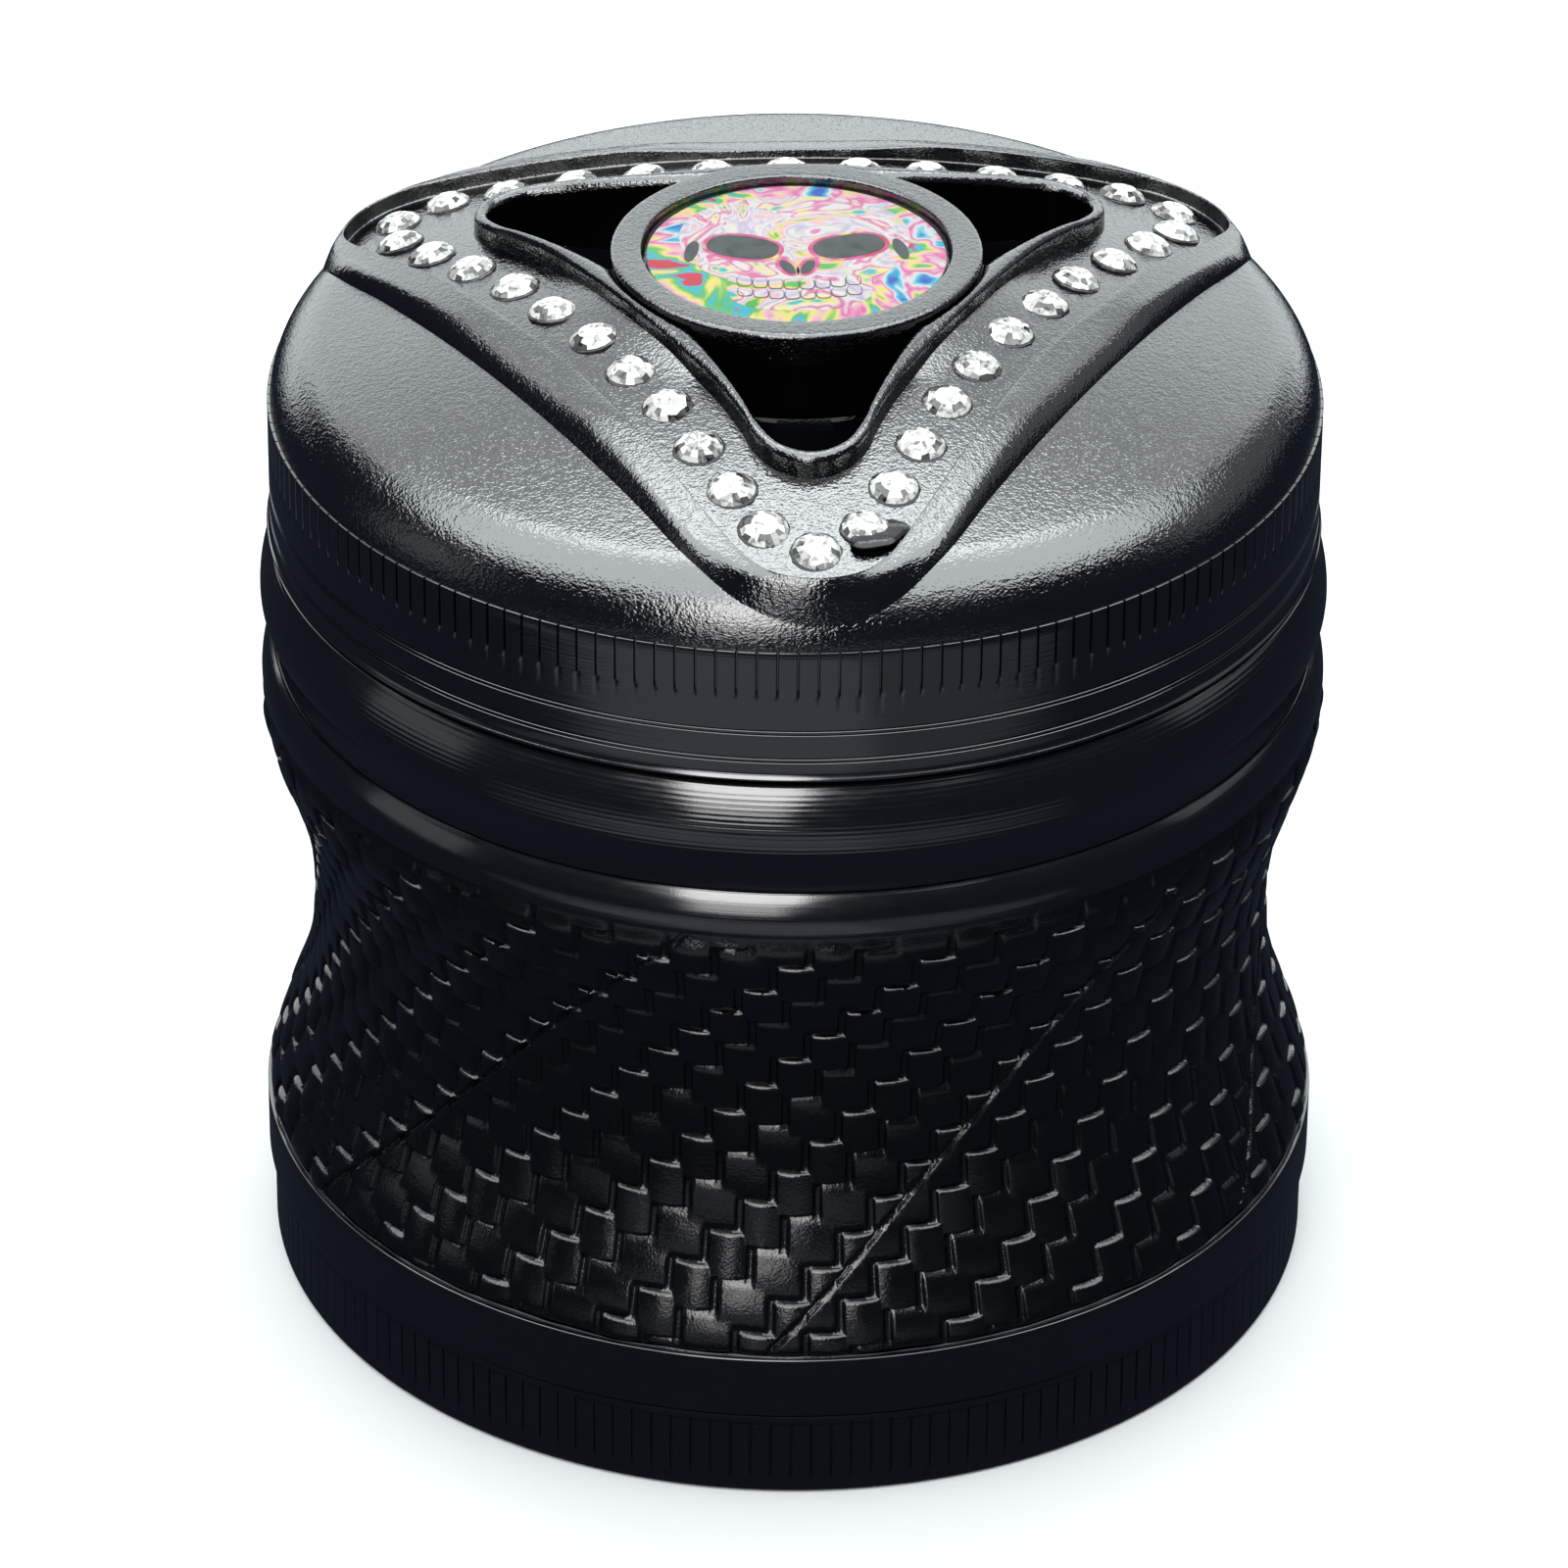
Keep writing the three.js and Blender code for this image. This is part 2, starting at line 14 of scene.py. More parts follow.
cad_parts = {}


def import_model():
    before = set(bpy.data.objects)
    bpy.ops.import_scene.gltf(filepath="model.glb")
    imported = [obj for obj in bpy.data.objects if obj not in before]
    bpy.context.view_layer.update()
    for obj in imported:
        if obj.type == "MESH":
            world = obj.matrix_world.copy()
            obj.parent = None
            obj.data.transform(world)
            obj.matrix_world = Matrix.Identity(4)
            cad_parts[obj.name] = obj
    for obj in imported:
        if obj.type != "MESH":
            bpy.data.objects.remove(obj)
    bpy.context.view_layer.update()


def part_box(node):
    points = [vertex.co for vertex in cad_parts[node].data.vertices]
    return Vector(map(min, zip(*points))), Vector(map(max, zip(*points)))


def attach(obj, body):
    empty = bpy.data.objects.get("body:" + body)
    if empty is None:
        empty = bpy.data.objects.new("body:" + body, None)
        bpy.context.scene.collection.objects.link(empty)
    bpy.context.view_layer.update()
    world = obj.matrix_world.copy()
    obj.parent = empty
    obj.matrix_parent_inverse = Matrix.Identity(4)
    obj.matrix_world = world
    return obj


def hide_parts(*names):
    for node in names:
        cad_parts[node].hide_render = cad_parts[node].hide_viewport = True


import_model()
chance = random.Random(7)


# ---- sizes, from the frame where it has them
def node_box(name):
    """Lowest and highest corner of a CAD node in millimetres."""
    low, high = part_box(name)
    return np.array(low) * 1000, np.array(high) * 1000


MM = 0.001
TAU = 2 * math.pi
FRONT = -math.pi / 2

LID_LOW, LID_HIGH = node_box("lid_casting")
BASE_HIGH = node_box("base_cup")[1]
DRUM_LOW, DRUM_HIGH = node_box("drum_body")
CHAMBER_LOW, CHAMBER_HIGH = node_box("grinding_chamber")
WRAP_LOW, WRAP_HIGH = node_box("leather_wrap")
RING_TOP = LID_HIGH[2]
LID_BOTTOM = LID_LOW[2]
BASE_RADIUS = BASE_HIGH[0]
BASE_TOP = BASE_HIGH[2]
FLANGE_RADIUS = DRUM_HIGH[0]
DRUM_TOP = DRUM_HIGH[2]
BULGE_RADIUS = CHAMBER_HIGH[0]

LID_RADIUS = 31.5
RIM_RADIUS = LID_RADIUS + 0.2
KNURL_TOP = RING_TOP - 9.4
KNURL_BOTTOM = KNURL_TOP - 3.2
KNURLS = 168
KNURL_DEPTH = 0.17
DOME_APEX = RING_TOP - 2.0
DOME_CURVE = 231.0
SHOULDER_RADIUS = 4.7
SHOULDER_CENTRE = LID_RADIUS - SHOULDER_RADIUS - 0.15
SHOULDER_HEIGHT = KNURL_TOP - 0.5
SHOULDER_JOIN = SHOULDER_CENTRE + 1.1
CREST_APEX = RING_TOP - 0.1
FRAME_CURVE = 174.6
CHANNEL_DEPTH = 0.95
CREST_SAG = 0.4
WALL_SHARE = 0.62
RIB_TOP = RING_TOP + 0.45
FLOOR_SWELL = 0.5
POCKET_FLOOR = RING_TOP - 5.7
BOSS_RADIUS = 11.04
RECESS_RADIUS = 9.2
MEDALLION_SEAT = RING_TOP - 1.2
DISC_THICKNESS = 0.66
SKIRT_BORE = 29.7
LID_CEILING = RING_TOP - 7.7
POST_RADIUS = 6.0
MAGNET_RADIUS = 4.5
MAGNET_HEIGHT = 2.0

SEAM_RADIUS = 31.4
PLATE_TOP = 50.0
PLATE_BOTTOM = 47.6
COLLAR_RADIUS = 28.3
GRIND_RADIUS = 26.7
WAIST_HEIGHT = 23.5
WAIST_RADIUS = 29.28
UPPER_FLARE, UPPER_FLARE_LENGTH, UPPER_FLARE_POWER = 2.94, 15.3, 1.4
LOWER_FLARE, LOWER_FLARE_LENGTH, LOWER_FLARE_POWER = 3.2, 15.0, 1.3
LEATHER_THICKNESS = 0.9
THREAD_PITCH = 2.0


# ---- mesh tools
def smoothstep(low, high, value):
    share = np.clip((value - low) / (high - low), 0, 1)
    return share * share * (3 - 2 * share)


def angles(count):
    return FRONT + np.arange(count) * TAU / count


def circle(radius, height, at):
    """Points at the given angles; radius and height are numbers or one value for each angle."""
    return np.stack([radius * np.cos(at), radius * np.sin(at), np.broadcast_to(height, at.shape)], 1)


def rounded(profile, at):
    """Rings round the axis from pairs of radius and height."""
    return [circle(radius, height, at) for radius, height in profile]


def linked(name, data):
    piece = bpy.data.objects.new(name, data)
    bpy.context.scene.collection.objects.link(piece)
    return piece


class Skin:
    """A skin made of bands between rings of points. It may hold several closed shells."""

    def __init__(self):
        self.points, self.faces, self.slots, self.size = [], [], [], 0

    def ring(self, points):
        start = self.size
        self.points.append(np.asarray(points, float))
        self.size += len(points)
        return np.arange(start, self.size)

    def add(self, faces, slot):
        self.faces.extend(faces)
        self.slots.extend([slot] * len(faces))

    def band(self, low, high, slot=0):
        """Joins two rings. Where their counts differ, it walks round both and adds triangles."""
        if len(low) == len(high):
            quads = np.stack([low, np.roll(low, -1), np.roll(high, -1), high], 1)
            self.add(quads.tolist(), slot)
            return
        i = j = 0
        triangles = []
        while i < len(low) or j < len(high):
            a, b = int(low[i % len(low)]), int(high[j % len(high)])
            if (i + 1) * len(high) <= (j + 1) * len(low):
                triangles.append([a, int(low[(i + 1) % len(low)]), b])
                i += 1
            else:
                triangles.append([a, int(high[(j + 1) % len(high)]), b])
                j += 1
        self.add(triangles, slot)

    def cap(self, ring, top, slot=0, lift=0.0):
        """Closes a ring with triangles to its centre, which may be lifted."""
        centre = np.concatenate(self.points)[ring].mean(0)
        tip = int(self.ring([centre + [0, 0, lift]])[0])
        pairs = zip(ring.tolist(), np.roll(ring, -1).tolist())
        self.add([[a, b, tip] if top else [b, a, tip] for a, b in pairs], slot)

    def stack(self, rings, closed=False, slot=0):
        """Joins rings in order: outward along the bottom, up the outside and back along the top."""
        made = [self.ring(points) for points in rings]
        for low, high in zip(made, made[1:]):
            self.band(low, high, slot)
        if closed:
            self.band(made[-1], made[0], slot)
        return made

    def capped(self, rings, slot=0, lift=0.0):
        """Joins rings in order and closes both ends."""
        made = self.stack(rings, slot=slot)
        self.cap(made[0], False, slot)
        self.cap(made[-1], True, slot, lift)

    def take(self, mesh, slot=0):
        """Adds a Blender mesh whose points are in millimetres."""
        start = self.size
        self.ring([vertex.co[:] for vertex in mesh.vertices])
        self.add([[start + i for i in face.vertices] for face in mesh.polygons], slot)

    def build(self, name, materials, sharp=35.0):
        mesh = bpy.data.meshes.new(name)
        mesh.from_pydata((np.concatenate(self.points) * MM).tolist(), [], self.faces)
        for material in materials:
            mesh.materials.append(material)
        mesh.polygons.foreach_set("material_index", self.slots)
        mesh.shade_smooth()
        mesh.set_sharp_from_angle(angle=math.radians(sharp))
        mesh.update()
        return linked(name, mesh)


def arc(centre_r, centre_z, radius, first, last, steps):
    """Profile points on an arc, angles in degrees from the outward direction."""
    turn = np.radians(np.linspace(first, last, steps + 1))
    return [(centre_r + radius * math.cos(a), centre_z + radius * math.sin(a)) for a in turn]


def line(start, end, steps):
    return [tuple(np.array(start) + (np.array(end) - np.array(start)) * i / steps) for i in range(steps)]


def place(piece, body, slot, *nodes):
    """Ties a finished piece to its CAD body and hides the CAD nodes it stands for. The slot argument is not
    used.
    """
    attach(piece, body)
    if nodes:
        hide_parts(*nodes)


def shell(name, rings, material, body, slot, *nodes, closed=False, sharp=35.0, lift=0.0):
    """A piece made of one run of rings, closed on itself or capped at both ends."""
    skin = Skin()
    if closed:
        skin.stack(rings, closed=True)
    else:
        skin.capped(rings, lift=lift)
    place(skin.build(name, [material], sharp), body, slot, *nodes)


# ---- materials
class Nodes:
    """Helpers for a node tree. Texture scales are per metre."""

    def __init__(self, tree):
        self.tree = tree

    def feed(self, target, source):
        if isinstance(source, bpy.types.NodeSocket):
            self.tree.links.new(source, target)
        else:
            target.default_value = source

    def node(self, kind, *sources, **settings):
        """Adds a node. Sources feed its first inputs; settings are attributes or named inputs."""
        made = self.tree.nodes.new(kind)
        for target, source in zip(made.inputs, sources):
            self.feed(target, source)
        for key, value in settings.items():
            if hasattr(made, key):
                setattr(made, key, value)
            else:
                self.feed(made.inputs[key.replace("_", " ")], value)
        return made

    def ramp(self, value, stops):
        """Reads a value through a list of (position, colour)."""
        made = self.node("ShaderNodeValToRGB", value)
        elements = made.color_ramp.elements
        while len(elements) < len(stops):
            elements.new(0.5)
        for element, (position, colour) in zip(elements, stops):
            element.position = position
            element.color = (*colour, 1)
        return made.outputs["Color"]


class Paint(Nodes):
    """A Principled material."""

    def __init__(self, name, colour, roughness, metallic=0.0, **inputs):
        self.material = bpy.data.materials.new(name)
        self.material.use_nodes = True
        super().__init__(self.material.node_tree)
        self.inputs = self.tree.nodes["Principled BSDF"].inputs
        self.place = self.node("ShaderNodeTexCoord").outputs["Object"]
        inputs.update(Base_Color=(*colour, 1), Roughness=roughness, Metallic=metallic)
        for key, value in inputs.items():
            self.inputs[key.replace("_", " ")].default_value = value

    def shade(self, value, stops):
        self.feed(self.inputs["Base Color"], self.ramp(value, stops))

    def noise(self, scale, detail=2.0, stretch=(1, 1, 1), **settings):
        place_at = self.node("ShaderNodeMapping", self.place, Scale=stretch).outputs["Vector"]
        made = self.node("ShaderNodeTexNoise", place_at, Scale=scale, Detail=detail, **settings)
        return made.outputs["Fac"]

    def spread(self, value, low, high, target="Roughness", start=0.3, end=0.7):
        """Maps a texture value onto a range and feeds it to an input."""
        made = self.node("ShaderNodeMapRange", value, start, end, low, high)
        self.feed(self.inputs[target], made.outputs["Result"])

    def bump(self, *layers):
        """Adds bump layers, each a (height socket, distance in millimetres)."""
        settings = {}
        for value, distance in layers:
            made = self.node("ShaderNodeBump", Distance=distance * MM, Height=value, **settings)
            settings = {"Normal": made.outputs["Normal"]}
        self.feed(self.inputs["Normal"], made.outputs["Normal"])


BLACK = (0.001, 0.0011, 0.0015)
COATING = {"Specular_IOR_Level": 1.0, "IOR": 1.79}
INDIRECT_SHARE = 0.25


def coat(paint, gloss=1.0):
    """Keeps reflections of reflections weak, so that hollows stay black."""
    path = paint.node("ShaderNodeLightPath")
    seen = path.outputs["Is Camera Ray"]
    paint.spread(seen, gloss * INDIRECT_SHARE, gloss, "Specular IOR Level", 0.0, 1.0)
    return paint.material


def cast_black(name, gloss):
    """Satin black coat over a casting, with a fine orange-peel grain."""
    paint = Paint(name, BLACK, 0.14, **COATING)
    paint.spread(paint.noise(900, 3), 0.08, 0.14)
    paint.bump((paint.noise(2500, 1.0), 0.03), (paint.noise(5500, 1.0, (1, 1, 1.6)), 0.03))
    return coat(paint, gloss)


def anodised_black():
    """Smooth black anodised aluminium with fine turning lines round the axis."""
    paint = Paint("anodised_black", BLACK, 0.15, **COATING)
    paint.spread(paint.noise(500, 2, (1, 1, 6)), 0.12, 0.18)
    paint.bump((paint.noise(1000, 1, (0.02, 0.02, 9)), 0.007), (paint.noise(9000, 1), 0.002))
    return coat(paint)


def leather_black():
    """Glossy finished leather with fine pores."""
    paint = Paint("leather_black", (0.001, 0.001, 0.0013), 0.2, **COATING)
    paint.spread(paint.noise(1500, 3), 0.13, 0.22)
    paint.bump((paint.noise(6500, 2), 0.02), (paint.noise(1300, 2), 0.02))
    return coat(paint, 0.5)


def clear_glue():
    paint = Paint("clear_glue", (0.02, 0.02, 0.022), 0.08)
    paint.bump((paint.noise(1800, 2), 0.05))
    return paint.material


def crystal(name, low, high):
    """One brightness of cut glass over foil, speckled lighter and darker: painted glints and painted shade
    that stand in for the facets' reflections. A stone's facets are dealt out over a few of these copies.
    """
    bright = (high, high, high * 0.96)
    paint = Paint(name, bright, 0.05, 0.1, Specular_IOR_Level=0.8)
    paint.shade(paint.noise(2600, 1.0), [(0.38, (low, low, low)), (0.5, bright)])
    return paint.material


def foil():
    """Mirror foil on the back of a stone, seen through the glass."""
    paint = Paint("stone_foil", (0.93, 0.93, 0.92), 0.12, 1.0)
    paint.spread(paint.noise(4000, 2), 0.08, 0.2)
    return paint.material


def clear_resin():
    """Domed resin: a clear coat that only adds a weak reflection to the print under it."""
    paint = Paint("clear_resin", (1, 1, 1), 0.03)
    fresnel = paint.node("ShaderNodeFresnel", IOR=1.5).outputs["Fac"]
    inside = paint.node("ShaderNodeNewGeometry").outputs["Backfacing"]
    outside = paint.node("ShaderNodeMath", fresnel, inside, operation="SUBTRACT", use_clamp=True)
    share = paint.node("ShaderNodeMath", outside.outputs["Value"], 0.3, operation="MULTIPLY")
    clear = paint.node("ShaderNodeBsdfTransparent").outputs["BSDF"]
    gloss = paint.node("ShaderNodeBsdfGlossy", Roughness=0.04).outputs["BSDF"]
    mix = paint.node("ShaderNodeMixShader", share.outputs["Value"], clear, gloss)
    paint.feed(paint.tree.nodes["Material Output"].inputs["Surface"], mix.outputs["Shader"])
    return paint.material


INK_DEPTH = 0.5
PINK, ROSE, YELLOW = (0.85, 0.12, 0.4), (0.95, 0.5, 0.65), (1.0, 0.85, 0.2)
CYAN, BLUE, GREEN = (0.03, 0.55, 0.75), (0.04, 0.1, 0.6), (0.12, 0.55, 0.12)
CREAM, MILK, LILAC = (0.9, 0.85, 0.72), (0.88, 0.87, 0.86), (0.62, 0.5, 0.75)
SLATE, SMOKE, RED = (0.02, 0.024, 0.03), (0.09, 0.11, 0.11), (0.7, 0.04, 0.08)


def marbled(name, colours, first, step, scale, twist, offset=0.0):
    """Swirled ink: noise bent by another noise, read through evenly spaced colours."""
    paint = Paint(name, (0.8, 0.7, 0.8), 0.4, Specular_IOR_Level=0.1)
    value = paint.noise(scale, 2.5, Distortion=twist, noise_dimensions="4D", W=offset)
    stops = [(first + step * i, tuple(INK_DEPTH * c for c in colour)) for i, colour in enumerate(colours)]
    paint.shade(value, stops)
    return paint.material


def inks():
    """The print's four inks: its ground, the bone, the hollows and their rims."""
    ground = [BLUE, CYAN, MILK, PINK, ROSE, YELLOW, GREEN, CYAN, RED]
    bone = [CYAN, YELLOW, CREAM, PINK, MILK, CREAM, LILAC, MILK, ROSE, YELLOW, GREEN]
    return [
        marbled("ink_ground", ground, 0.34, 0.038, 130, 2.4),
        marbled("ink_bone", bone, 0.34, 0.031, 150, 2.6, 2.0),
        marbled("ink_shadow", [SLATE, SMOKE, SLATE], 0.3, 0.2, 500, 2.0, 5.0),
        marbled("ink_blush", [RED, PINK, YELLOW], 0.3, 0.2, 420, 2.0, 7.0),
    ]


def nickel():
    paint = Paint("magnet_nickel", (0.62, 0.6, 0.57), 0.2, 1.0)
    paint.spread(paint.noise(900, 3), 0.14, 0.3)
    paint.bump((paint.noise(3500), 0.004))
    return paint.material


def nylon():
    paint = Paint("nylon", (0.72, 0.71, 0.67), 0.45)
    paint.spread(paint.noise(1200), 0.38, 0.55)
    paint.bump((paint.noise(3000), 0.006))
    return paint.material


def stainless():
    paint = Paint("stainless", (0.52, 0.53, 0.54), 0.3, 1.0)
    paint.spread(paint.noise(700, 3, (1, 1, 8)), 0.2, 0.4)
    paint.bump((paint.noise(1500, 2, (0.05, 0.05, 6)), 0.004))
    return paint.material


def woven_steel():
    """Fine wire cloth, drawn as two crossed waves."""
    paint = Paint("woven_steel", (0.5, 0.51, 0.52), 0.32, 1.0)
    wires = []
    for along in ("X", "Y"):
        wave = paint.node("ShaderNodeTexWave", paint.place, Scale=650, bands_direction=along)
        wires.append(wave.outputs["Fac"])
    weave = paint.node("ShaderNodeMath", *wires, operation="MAXIMUM").outputs["Value"]
    paint.shade(weave, [(0.45, (0.02, 0.02, 0.02)), (0.75, (0.55, 0.56, 0.57))])
    paint.bump((weave, 0.12))
    return paint.material


CAST = cast_black("cast_black", 1.0)
# A copy of the cast coat with weak reflections: painted shade for the lid's pockets.
CAST_PAINTED_SHADE = cast_black("cast_black_painted_shade", 0.12)
ANODISED = anodised_black()
LEATHER = leather_black()
GLUE = clear_glue()
# The stones' glass in three copies, lightest to darkest, carrying painted glints and painted shade.
CRYSTAL_PAINTED_LIGHT = [
    crystal("crystal_painted_glint", 0.35, 0.8),
    crystal("crystal_painted_half_shade", 0.12, 0.4),
    crystal("crystal_painted_shade", 0.01, 0.1),
]
FOIL = foil()
RESIN = clear_resin()
INKS = inks()
NICKEL = nickel()
NYLON = nylon()
STAINLESS = stainless()
WOVEN = woven_steel()


# ---- the lid's threefold outlines
ARMS = 3
LID_COUNT = 4 * KNURLS
AT = angles(LID_COUNT)


def side_point(distance, along):
    """A point (along the arm, across it) on the side next to the arm, at a distance from the centre."""
    cos, sin = math.cos(math.pi / ARMS), math.sin(math.pi / ARMS)
    return (distance * cos + along * sin, distance * sin - along * cos)


# Half an arm each: points (along the arm, across it) from the tip, then side points (distance, along).
FOOT = [(30.95, 0), (30.0, 4.3)], [(19.9, 20.5), (20, 14), (20, 7), (20, 0)]
CREST_TIP = [(30.25, 0), (29.85, 2.4), (29.0, 4.45), (26.7, 6.4)]
CREST = CREST_TIP, [(18.9, 13), (18.4, 8.5), (17.8, 4), (17.7, 0)]
CHANNEL_TIP = [(30.0, 0), (29.6, 2.3), (28.5, 3.85), (25.8, 5.65)]
CHANNEL_OUTER = CHANNEL_TIP, [(17.6, 14.5), (17.3, 9.5), (16.9, 4.5), (16.8, 0)]
RIB_FOOT = [(21.5, 0), (20.75, 2.0), (19.1, 3.3)], [(12.1, 13.2), (11.75, 10), (11.65, 6), (11.75, 0)]
POCKET_TIP = [(20.5, 0), (20.15, 1.25), (19.4, 2.1), (17.5, 3.05), (15.1, 3.95)]
POCKET = POCKET_TIP, [(10.62, 8.6), (10.3, 6), (10.2, 0)]


def smooth_loop(corners, steps=24):
    """A closed centripetal Catmull-Rom curve through the corners."""
    before, after, later = (np.roll(corners, shift, 0) for shift in (1, -1, -2))
    gap = np.linalg.norm(after - corners, axis=1)[:, None] ** 0.5
    gap_before, gap_after = np.roll(gap, 1, 0), np.roll(gap, -1, 0)
    back, ahead = (corners - before) / gap_before, (after - corners) / gap
    next_ahead = (later - after) / gap_after
    leave = (back - (after - before) / (gap_before + gap) + ahead) * gap
    reach = (ahead - (later - corners) / (gap + gap_after) + next_ahead) * gap
    t = np.linspace(0, 1, steps, endpoint=False)[None, :, None]
    ends = (2 * t**3 - 3 * t**2 + 1) * corners[:, None] + (3 * t**2 - 2 * t**3) * after[:, None]
    slopes = (t**3 - 2 * t**2 + t) * leave[:, None] + (t**3 - t**2) * reach[:, None]
    return (ends + slopes).reshape(-1, 2)


def outline_radius(tip, side):
    """Distance from the axis to a threefold outline at each of the lid's angles."""
    half_arm = tip + [side_point(*spot) for spot in side]
    mirrored = [(along, -across) for along, across in half_arm[1:-1]]
    one_arm = np.array(mirrored[::-1] + half_arm)
    corners = []
    for arm in range(ARMS):
        turn = FRONT + arm * TAU / ARMS
        rotation = np.array([[math.cos(turn), math.sin(turn)], [-math.sin(turn), math.cos(turn)]])
        corners.append(one_arm @ rotation)
    loop = smooth_loop(np.concatenate(corners))
    direction = (np.arctan2(loop[:, 1], loop[:, 0]) - FRONT) % TAU
    return np.interp(AT - FRONT, direction, np.hypot(loop[:, 0], loop[:, 1]), period=TAU)


def dome_height(radius):
    radius = np.asarray(radius, float)
    drop = np.clip(SHOULDER_RADIUS**2 - (radius - SHOULDER_CENTRE) ** 2, 0, None)
    shoulder = SHOULDER_HEIGHT + np.sqrt(drop)
    return np.where(radius > SHOULDER_JOIN, shoulder, DOME_APEX - radius**2 / DOME_CURVE)


def frame_height(apex, radius):
    return apex - radius**2 / FRAME_CURVE


# ---- lid casting
def knurl_ring(radius, height, depth):
    """One ring of a knurled band: eight points to a groove, two of them on its floor."""
    shares = np.array([0, 0.03, 0.07, 0.25, 0.5, 0.75, 0.93, 0.97])
    cut = np.array([1, 1, 0, 0, 0, 0, 0, 1])
    at = FRONT + ((np.arange(KNURLS)[:, None] + shares[None, :]) * TAU / KNURLS).ravel()
    return circle(radius - depth * np.tile(cut, KNURLS), height, at)


def knurl_rings(radius, bottom, top, depth, edge=0.1):
    """A knurled band whose grooves run out near its bottom and cut through its top edge."""
    run_out = 0.8
    rings = [knurl_ring(radius, bottom + run_out * share, depth * share) for share in (0, 0.3, 0.65, 1)]
    heights = np.linspace(bottom + run_out, top - edge, 4)[1:]
    rings += [knurl_ring(radius, height, depth) for height in heights]
    rings.append(knurl_ring(radius - edge * 0.3, top - edge * 0.3, depth - edge * 0.3))
    rings.append(knurl_ring(radius - edge, top, depth - edge))
    return rings


def double_groove(radius, middle, depth=0.17):
    """Two fine square grooves side by side round a wall, listed upward. Their lower lips are broken."""
    half, offset, lip = 0.05, 0.13, 0.02
    points = []
    for centre in (middle - offset, middle + offset):
        points += [(radius, centre - half - lip), (radius - lip, centre - half)]
        points += [(radius - depth, centre - half + 0.005), (radius - depth, centre + half - 0.005)]
        points += [(radius, centre + half)]
    return points


def lid_underside():
    """Magnet post, ceiling and bore, from the axis outward and down to the rim."""
    post_bottom = LID_CEILING - 1.4
    recess = MAGNET_RADIUS + 0.1
    recess_top = post_bottom + MAGNET_HEIGHT + 0.1
    profile = [(recess, recess_top), (recess, post_bottom + 0.15), (recess + 0.15, post_bottom)]
    profile += [(POST_RADIUS - 0.25, post_bottom), (POST_RADIUS, post_bottom + 0.25)]
    profile += arc(POST_RADIUS + 0.4, LID_CEILING - 0.4, 0.4, 180, 90, 4)
    profile += line((POST_RADIUS + 1, LID_CEILING), (SKIRT_BORE - 0.8, LID_CEILING), 4)
    profile += arc(SKIRT_BORE - 0.5, LID_CEILING - 0.5, 0.5, 90, 0, 4)
    profile += [(SKIRT_BORE, LID_BOTTOM + 0.3), (SKIRT_BORE + 0.25, LID_BOTTOM)]
    return profile


def lid_skirt():
    """Flared rim and the two pairs of fine grooves, going up."""
    profile = [(RIM_RADIUS - 0.12, LID_BOTTOM)]
    profile += arc(RIM_RADIUS - 0.12, LID_BOTTOM + 0.12, 0.12, -90, 60, 5)
    profile += [(LID_RADIUS + 0.04, LID_BOTTOM + 0.36), (LID_RADIUS, LID_BOTTOM + 0.5)]
    for middle in (LID_BOTTOM + 1.35, LID_BOTTOM + 3.18):
        profile += double_groove(LID_RADIUS, middle)
    profile.append((LID_RADIUS, LID_BOTTOM + 4.2))
    return profile


def dome_rings(foot, count=24):
    """Rings from the dome's lower edge up its shoulder to the foot of the frame."""
    edge = SHOULDER_CENTRE + math.sqrt(SHOULDER_RADIUS**2 - (KNURL_TOP - SHOULDER_HEIGHT) ** 2)
    table = np.linspace(edge, foot.min() - 0.5, 2000)
    heights = dome_height(table)
    walked = np.concatenate([[0], np.cumsum(np.hypot(np.diff(table), np.diff(heights)))])
    reach = np.interp(-foot, -table, walked)
    rings = []
    for share in np.linspace(0, 1, count + 1):
        radius = np.interp(reach * share, walked, table)
        rings.append(circle(radius, dome_height(radius), AT))
    return rings


def crest_height(radius):
    """The frame's top: it follows the frame's curve, but hangs a little between the arms."""
    return frame_height(CREST_APEX, radius) - CREST_SAG * (1 - smoothstep(16.8, 20.0, radius))


def channel_floor(radius):
    """The channel's floor, which swells towards the middle ring."""
    swell = FLOOR_SWELL * (1 - smoothstep(11.6, 14.5, radius))
    return frame_height(CREST_APEX - CHANNEL_DEPTH, radius) + swell


